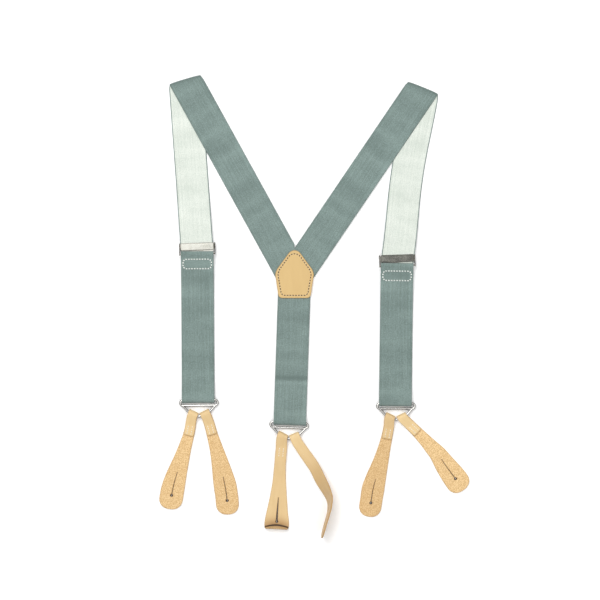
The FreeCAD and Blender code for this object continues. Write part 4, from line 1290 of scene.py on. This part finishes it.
@dataclass
class Tab:
    """A leather tab: its neck goes round a ring's arm and is sewn to itself, and it widens to a round end."""

    key: str
    arm_middle: tuple
    arm_turn: float
    line: list
    lay: Lay
    wide: float = 12.3
    curl: float = 0.0
    worn: float = 0.0
    spin: tuple = ()
    spread: tuple = ((0, 5.4), (24, 5.9), (38, 6.9), (54, 8.8), (68, 10.8), (80, 12.2))
    tail: float = 24.0
    hole_from_tip: float = 15.0
    slit: float = 26.0

    def widths(self, along: np.ndarray, reach: float) -> tuple:
        """Half width and slit half width along the leather.

        The neck widens through a smoothed table, and the end is a rounded curve of power 2.3.

        Args:
            along: distance below the ring's arm; negative on the tail's side of the fold.
            reach: distance from the arm to the tip.
        Returns:
            The two widths at each place.
        """
        at, wide = np.array([*self.spread, (self.spread[-1][0] + 9.0, self.wide)]).T
        half = sum(w * np.interp(along + d, at, wide) for w, d in ((0.25, -4.0), (0.5, 0.0), (0.25, 4.0)))
        round_end = 12.0
        to_tip = np.clip((round_end - (reach - along)) / round_end, 0, 1)
        half = half * np.clip(1 - to_tip**2.3, 0.0008, 1) ** (1 / 2.3)
        to_tail = np.clip((along + self.tail + math.pi * ARM_WRAP) / 1.2, 0, 1)
        hole_at = reach - self.hole_from_tip
        gap = np.where((along > hole_at - self.slit) & (along < hole_at), self.opening(along, hole_at), 0.0)
        hole = np.sqrt(np.clip(1.5**2 - (along - hole_at) ** 2, 0, None))
        return half * (0.8 + 0.2 * np.sqrt(to_tail)), np.maximum(gap, hole)

    def opening(self, along: np.ndarray, hole_at: float) -> np.ndarray:
        """Half width of the slit, which gapes in a curled tab."""
        share = np.clip((along - hole_at + self.slit) / self.slit, 0, 1)
        return 0.16 + (0.85 * share**0.9 if self.curl > 0 else 0.14 * share)

    def profile(self, reach: float, known: np.ndarray) -> np.ndarray:
        """The middle of the leather seen from the side: the tail, the turn round the arm, then the body.

        The end of a curled tab is an arc of a circle and a straight run.

        Args:
            reach: distance from the arm to the tip.
            known: distance from the arm to each point of the tab's line.
        Returns:
            Points (along, height); along is positive above the arm.
        """
        if self.lay is Lay.BODY_UNDER:
            tail = [(-self.tail, TAB_RESTING, 0), (-12.5, TAB_RESTING, 12), (-1.5, ARM_HIGH, 2.5)]
            turn = [(ARM_WRAP, ARM_HIGH, ARM_WRAP), (ARM_WRAP, ARM_LOW, ARM_WRAP)]
            body = [(-reach, ARM_LOW, 0)]
        else:
            tail = [(-self.tail, ARM_LOW, 0)]
            turn = [(ARM_WRAP, ARM_LOW, ARM_WRAP), (ARM_WRAP, ARM_HIGH, ARM_WRAP)]
            body = [(-1.5, ARM_HIGH, 2.5), (-12.5, TAB_RESTING, 12), (-self.tail - 3.0, TAB_RESTING, 12),
                    (-self.tail - 20.0, ARM_LOW, 12), (-reach + self.curl, ARM_LOW, 0)]
        if self.spin:
            body = [(-1.5, ARM_HIGH, 2.5)] + [(-k, s[0], 14) for k, s in zip(known, self.spin)][1:]
        route = rounded(tail + turn + body, step=0.8)
        if not self.curl:
            return route
        angle = np.linspace(0, math.radians(116.0), 26)[1:]
        radius = 4.0
        bend = np.stack([-(reach - self.curl) - radius * np.sin(angle),
                         ARM_LOW + radius * (1 - np.cos(angle))], 1)
        rest = self.curl + 8.0 - radius * angle[-1]
        way = np.array([-math.cos(angle[-1]), math.sin(angle[-1])])
        return np.concatenate([route, bend, bend[-1] + way * np.linspace(0, rest, 22)[1:, None]])

    def lie(self, route: np.ndarray, places: np.ndarray, spine: np.ndarray, known: np.ndarray) -> tuple:
        """Carries the profile along the tab's line, and twists it where the tab is spun.

        Args:
            route: the profile's points.
            places: distance along the profile to each of them.
            spine: the tab's line with its lead.
            known: distance from the arm to each point of the tab's line.
        Returns:
            The leather's middle, the way across it, and the way through it towards the grain side.
        """
        slope = np.gradient(route, places, axis=0)
        slope /= np.linalg.norm(slope, axis=1, keepdims=True)
        at = LEAD - route[:, 0]
        ahead = curve_through(spine, at + 0.05) - curve_through(spine, at - 0.05)
        ahead /= np.linalg.norm(ahead, axis=1, keepdims=True)
        wide = np.cross(UP, ahead)
        # the route runs towards the fold first, so plan headings there point against the leather's own
        travel = ahead * -slope[:, :1] + UP * slope[:, 1:]
        through = np.cross(wide, travel)
        through = through / np.linalg.norm(through, axis=1, keepdims=True)
        # the grain is on the outside of the fold
        at_fold = int(np.argmax(route[:, 0]))
        if float(through[at_fold] @ ahead[at_fold]) > 0:
            through = -through
        if self.spin:
            twist = np.radians(np.interp(-route[:, 0], known, [s[1] for s in self.spin], left=0.0))[:, None]
            twist = np.where((np.arange(len(places)) > at_fold)[:, None], twist, 0.0)
            wide, through = (wide * np.cos(twist) + through * np.sin(twist),
                             through * np.cos(twist) - wide * np.sin(twist))
        if float(np.cross(wide[at_fold], travel[at_fold]) @ through[at_fold]) < 0:
            wide = -wide
        return curve_through(spine, at) + UP * route[:, 1:], wide, through

    def build(self) -> None:
        """Makes the leather and its two rows of stitches."""
        arm = np.array([*self.arm_middle, 0.0])
        line = np.array([[*p, 0.0] for p in self.line])
        spine = np.concatenate([[arm + direction(self.arm_turn + 90.0) * LEAD, arm], line])
        known = travelled(spine)[2:] - LEAD
        route = self.profile(known[-1], known)
        places = travelled(route)
        total = places[-1]
        tip_rows = np.array([0.2, 0.4, 0.55, 0.7, 0.82, 0.91, 0.97, 1.0])
        fine = np.concatenate([np.arange(0, total - 46.0, 0.8), np.arange(total - 46.0, total - 1.0, 0.3),
                               total - 1.0 + tip_rows])
        route = np.stack([np.interp(fine, places, route[:, k]) for k in (0, 1)], 1)
        middle, wide, through = self.lie(route, fine, spine, known)
        fold = self.tail + math.pi * ARM_WRAP
        half, gap = self.widths(fine - fold, total - fold)
        shell = leather_shell(middle, wide, through, half, gap, fine,
                              lambda across, place: self.shading(across, total - place),
                              self.lay is Lay.BODY_UNDER)
        self.finish(shell.make(f"leather_{self.key}", TAB_HIDE.material(), 45.0))
        sewn = np.arange(14.2, 23.0, 2.5)
        self.sew(curve_through(spine, LEAD + sewn), spine, sewn, TAB_RESTING + LEATHER / 2)

    def shading(self, across: np.ndarray, back: np.ndarray) -> np.ndarray:
        """How much the leather is darkened: evenly by its own tone, by painted shade along a spun tab's edge-on
        end, or by a painted shadow arch under a curled tip with a wider band of painted shade round it.

        Args:
            across: place across the leather.
            back: distance back from the tip.
        Returns:
            0 to 1 for each point.
        """
        if not self.curl:
            # painted shade along the end of a spun tab, where it stands on edge
            painted_twist_shade = np.clip((120.0 - back) / 45.0, 0, 1) * 0.27 if self.spin else 0.0
            return np.full(np.broadcast(across, back).shape, self.worn) + painted_twist_shade
        # painted shadow in an arch under the curled tip, and a wider band of painted shade round it
        arch = back - 11.0 + 0.02 * across**2
        painted_crease_shading = 0.95 * np.exp(-(arch**2))
        return np.clip(self.worn + painted_crease_shading + 0.40 * np.exp(-((arch - 1.0) / 7.0) ** 2), 0, 1)

    def sew(self, centres: np.ndarray, spine: np.ndarray, sewn: np.ndarray, top: float) -> None:
        """Two short rows of stitches through both layers."""
        ahead = curve_through(spine, LEAD + 0.05 + sewn) - curve_through(spine, LEAD - 0.05 + sewn)
        ahead /= np.linalg.norm(ahead, axis=1, keepdims=True)
        side = np.cross(UP, ahead)
        points = np.concatenate([centres + side * w + UP * (top - 0.03) for w in (-2.2, 2.2)])
        headings = np.concatenate([ahead, ahead])
        Stitching(f"thread_{self.key}", f"tab_{self.key}", f"tab_stitching_{self.key}", points, headings,
                  np.broadcast_to(UP, points.shape), LEATHER_THREAD, length=1.7, radius=0.26,
                  holes=NEEDLE_HOLE_SHADOW, hole_size=0.5 if self.lay is Lay.BODY_OVER else 0.36).build()

    def finish(self, made: bpy.types.Object) -> None:
        """Ties the leather to its body and node."""
        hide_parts(f"tab_{self.key}")
        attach(made, f"tab_{self.key}")


# ------------------------------------------------------------------ metal


def wire_shell(path: np.ndarray, radius: float, closed: bool, shell: Shell) -> None:
    """A round wire along a level line: circles of twenty points square to the line.

    Args:
        path: middle of the wire, three numbers a row.
        radius: of the wire.
        closed: whether it is a loop.
        shell: what to add it to.
    """
    sides = 20
    ahead = np.roll(path, -1, 0) - np.roll(path, 1, 0) if closed else np.gradient(path, axis=0)
    ahead /= np.linalg.norm(ahead, axis=1, keepdims=True)
    out = np.cross(ahead, UP)
    around = np.arange(sides) * 2 * np.pi / sides
    points = path[:, None] + radius * (np.cos(around)[None, :, None] * out[:, None] +
                                       np.sin(around)[None, :, None] * UP)
    # painted shade: the wire's flanks and underside are marked to darken, and only its top crest stays bright
    painted_flank_shade = np.broadcast_to(np.clip((0.99 - np.sin(around)) / 0.16, 0, 1), points.shape[:2])
    rows = len(path)
    faces = grid_faces(rows, sides, wrap=True)
    if closed:
        j = np.arange(sides)
        k, last = (j + 1) % sides, (rows - 1) * sides
        loop = np.concatenate([faces, np.stack([last + j, last + k, k, j], 1)])
        shell.add(points, [loop[:, ::-1]], rim=painted_flank_shade)
        return
    caps = np.stack([np.arange(sides), np.arange(sides)[::-1] + (rows - 1) * sides])
    shell.add(points, [faces[:, ::-1], caps], rim=painted_flank_shade)


@dataclass
class Ring:
    """A wire ring: a slot for the webbing, with a vee of two arms below it for the tabs."""

    key: str
    at: tuple
    turn: float

    def build(self) -> None:
        """Makes the wire."""
        basis = rotation(self.turn)
        origin = np.array([*self.at, WIRE_LEVEL])
        half, low, bend = 20.1, -5.6, 2.78
        slot = rounded([(-half, 0.0, bend), (half, 0.0, bend), (half, low, bend), (-half, low, bend)], True, 1.0)
        arms = [(17.6, low, 0), (12.0, -11.8, 4), (0.0, -17.5, 2.2), (-12.0, -11.8, 4), (-17.6, low, 0)]
        vee = rounded(arms, False, 1.0)
        shell = Shell()
        for path, closed in ((slot, True), (vee, False)):
            flat = np.concatenate([path, np.zeros((len(path), 1))], 1)
            wire_shell(origin + flat @ basis, WIRE, closed, shell)
        made = shell.make(f"wire_ring_{self.key}", NICKEL_WIRE.material(), 60.0)
        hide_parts(f"ring_{self.key}")
        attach(made, f"ring_{self.key}")


def box_outline(across: tuple, along: tuple, corner: float) -> np.ndarray:
    """A rectangle with rounded corners.

    Args:
        across: its left and right sides.
        along: its lower and upper sides.
        corner: radius of the corners.
    Returns:
        A closed loop of points, anticlockwise.
    """
    (left, right), (low, high) = across, along
    corners = [(left, low, corner), (right, low, corner), (right, high, corner), (left, high, corner)]
    return rounded(corners, True, 0.9)


@dataclass
class Adjuster:
    """The lever adjuster's frame: its face plate, two cheeks and the lower bar."""

    side: Side
    at: tuple
    turn: float
    plate: tuple = (35.8, 8.0)
    thick: float = 0.8
    level: float = 4.6

    def build(self) -> None:
        """Makes the frame, and plates the lever and pin that the CAD made."""
        side = self.side.value
        basis = rotation(self.turn)
        origin = np.array([*self.at, 0.0])
        half, tall = self.plate[0] / 2, self.plate[1] / 2
        outline = box_outline((-half, half), (-tall, tall), 1.3)
        # the wider rim mark and extra rings give the plate a painted dark outline of shade
        shell = Slab("plate", outline, self.thick, 0.3, NICKEL_PLATE, crown=0.06, core=12, rim_wide=0.62,
                     bands=(0.45, 0.6, 0.8, 1.1)).shell(origin + self.level * UP, basis)
        ends = box_outline((-18.6, 18.6), (-2.6, 2.6), 0.4)
        shell.join(Slab("plate_ends", ends, 0.6, 0.2, NICKEL_PLATE, core=2).shell(origin + 4.65 * UP, basis))
        bar = box_outline((-19.2, 19.2), (-8.5, -7.1), 0.4)
        shell.join(Slab("bar", bar, self.thick, 0.28, NICKEL_PLATE, core=2).shell(origin + 5.6 * UP, basis))
        cheek = [(-4, 0.4), (4, 0.4), (4, 5.0), (-4, 5.0), (-6.6, 7.0), (-9.2, 7.0), (-9.2, 4.8), (-4, 3.0)]
        loop = rounded([(*c, 0.35) for c in cheek], True, 0.8)
        upright = np.array([basis[1], UP, basis[0]])
        for x in (-19.4, 18.3):
            cheek_slab = Slab("cheek", loop, 1.1, 0.25, NICKEL_PLATE, core=2)
            shell.join(cheek_slab.shell(origin + basis[0] * x, upright))
        made = shell.make(f"adjuster_body_{side}", NICKEL_PLATE.material(), 40.0)
        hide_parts(f"adjuster_frame_{side}")
        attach(made, f"adjuster_{side}")
        for name in ("adjuster_lever", "adjuster_pin"):
            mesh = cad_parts[f"{name}_{side}"].data
            mesh.materials.clear()
            mesh.materials.append(NICKEL_PLATE.material())


# ------------------------------------------------------------------ table, light and camera


def sky() -> bpy.types.World:
    """A soft white ceiling that darkens towards the horizon, with one dark card beside the middle.

    Returns:
        The world.
    """
    world = bpy.data.worlds.new("studio")
    world.use_nodes = True
    n = Nodes(world.node_tree)
    way = n.new("SeparateXYZ", {0: n.new("TexCoord").outputs["Generated"]}).outputs
    ceiling = n.span(way[2], 0.42, 0.85, 0.05, 1.3)
    card = n.math("MULTIPLY", n.span(way[0], -0.025, 0.01), n.span(way[0], 0.30, 0.42, 1.0, 0.0))
    card = n.math("MULTIPLY", card, n.span(way[2], 0.86, 0.94))
    strength = n.math("MULTIPLY", ceiling, n.math("SUBTRACT", 1.0, n.math("MULTIPLY", card, 0.86)))
    seen = n.new("LightPath").outputs["Is Camera Ray"]
    strength = n.math("ADD", n.math("MULTIPLY", strength, n.math("SUBTRACT", 1.0, seen)),
                      n.math("MULTIPLY", seen, 0.95))
    world.node_tree.links.new(strength, world.node_tree.nodes["Background"].inputs["Strength"])
    world.node_tree.nodes["Background"].inputs["Color"].default_value = (1.0, 1.0, 1.0, 1.0)
    return world


def studio() -> None:
    """A pale table, two wide soft lamps above, and a camera that looks straight down."""
    shell = Shell()
    wide = 1500.0
    corners = [(-wide, -wide, -0.25), (wide, -wide, -0.25), (wide, wide, -0.25), (-wide, wide, -0.25)]
    shell.add(np.array(corners), [np.array([[0, 1, 2, 3]])])
    shell.make("table", TABLE.material())
    for name, place, size, power in (
        ("lamp_over", (-0.5, 0.75, 1.5), 1.0, 15.0), ("lamp_fill", (0.9, -0.5, 1.6), 1.4, 5.0),
    ):
        light = bpy.data.lights.new(name, "AREA")
        light.size, light.energy = size, power
        lamp = bpy.data.objects.new(name, light)
        lamp.location = place
        aim = -np.array(place)
        lamp.rotation_euler = (math.atan2(math.hypot(aim[0], aim[1]), -aim[2]), 0.0,
                               math.atan2(aim[1], aim[0]) - math.pi / 2)
        bpy.context.scene.collection.objects.link(lamp)
    bpy.context.scene.world = sky()
    camera = bpy.data.objects.new("camera", bpy.data.cameras.new("camera"))
    height = 2.0
    camera.location = (-0.01505, 0.0075, height)
    camera.data.sensor_width = 36.0
    camera.data.lens = 36.0 * height / 0.645
    bpy.context.scene.collection.objects.link(camera)
    bpy.context.scene.camera = camera
    bpy.context.scene.view_settings.view_transform = "Standard"


# ------------------------------------------------------------------ the whole object


LEFT_ADJUSTER = (-125.3, 64.8)
RIGHT_ADJUSTER = (89.2, 52.1)
SHOULDERS = (
    Shoulder(Side.LEFT, (-24.5, 37.5), (-138.4, 244.2), 16.5, LEFT_ADJUSTER, 0.0),
    Shoulder(Side.RIGHT, (-15.0, 41.0), (116.9, 235.4), -22.0, RIGHT_ADJUSTER, 3.2),
)
ADJUSTERS = (Adjuster(Side.LEFT, LEFT_ADJUSTER, 2.1), Adjuster(Side.RIGHT, RIGHT_ADJUSTER, 2.0))
DOUBLED = (
    DoubledStrap(Side.LEFT, LEFT_ADJUSTER, (-124.3, -100.0)),
    DoubledStrap(Side.RIGHT, RIGHT_ADJUSTER, (87.3, -103.5)),
)
BACK = BackStrap((-20.9, 25.2), (-26.0, -123.9))
RINGS = (
    Ring("left", (-123.6, -100.0), 1.0),
    Ring("right", (87.9, -103.5), 0.3),
    Ring("back", (-26.6, -123.9), -2.6),
)
TABS = (
    Tab("left_outer", (-129.844, -114.525), -24.408,
        [(-134.1, -135.3), (-138.7, -150.9), (-143.4, -166.6), (-147.3, -179), (-151.1, -193),
         (-153.3, -204.3), (-155, -217.2)], Lay.BODY_UNDER, 12.6, worn=0.05),
    Tab("left_inner", (-116.853, -114.298), 26.408,
        [(-114.5, -119.8), (-109.1, -137.8), (-103.5, -157.6), (-98.2, -179.7), (-94.7, -197), (-93.1, -211),
         (-93.2, -222.95)], Lay.BODY_UNDER, 12.2, worn=0.09),
    Tab("right_inner", (81.479, -117.948), -25.108,
        [(80.3, -129), (78.0, -141), (74.9, -153.9), (71, -168.6), (67, -182.2), (63.6, -195.1),
         (61.7, -206.4), (58.9, -225.3)], Lay.BODY_UNDER, 11.9, worn=0.16),
    Tab("right_outer", (94.472, -117.880), 25.708,
        [(101.4, -125.0), (109.0, -132.4), (117.0, -140.6), (125.0, -149.2), (133.0, -158.0), (141.1, -169.8),
         (149.7, -181.4), (160.7, -196.7)], Lay.BODY_UNDER, 12.8),
    Tab("back_left", (-33.744, -138.004), -28.008,
        [(-35, -151.9), (-36.5, -170.8), (-37.4, -189.7), (-38.5, -207.8), (-39.6, -222.6), (-40.3, -237.5)],
        Lay.BODY_OVER, 13.2, curl=4.0, worn=0.13,
        spread=((0, 5.7), (13, 6.1), (32, 6.1), (51, 7.15), (69, 9.35), (84, 11.5))),
    Tab("back_right", (-20.764, -138.594), 22.808,
        [(-19.6, -141.6), (-12.9, -152.7), (-5.4, -163.4), (1.1, -173.1), (7.5, -186), (12.9, -195.7),
         (16.1, -203.2), (16.8, -210.7), (15.6, -219.3), (12.9, -229), (10.2, -238.7), (8.1, -246.6)],
        Lay.BODY_OVER, 12.3,
        spin=((5.3, 0), (3.2, 0), (3.2, 6), (5.0, 19), (8.0, 38), (11.0, 55), (12.8, 68), (13.6, 80),
              (13.8, 86), (13.8, 88), (13.8, 88), (13.8, 88)),
        spread=((0, 5.5), (30, 6.1), (43, 6.2), (56, 7.3), (75, 9.5), (88, 11.2))),
)


def main() -> None:
    """Builds every piece in order, then the table, light and camera."""
    logging.basicConfig(level=logging.INFO, format="%(message)s")
    Yoke().build()
    for part in (*SHOULDERS, *DOUBLED, BACK, *ADJUSTERS, *RINGS, *TABS):
        part.build()
    studio()


if __name__ == "__main__":
    main()
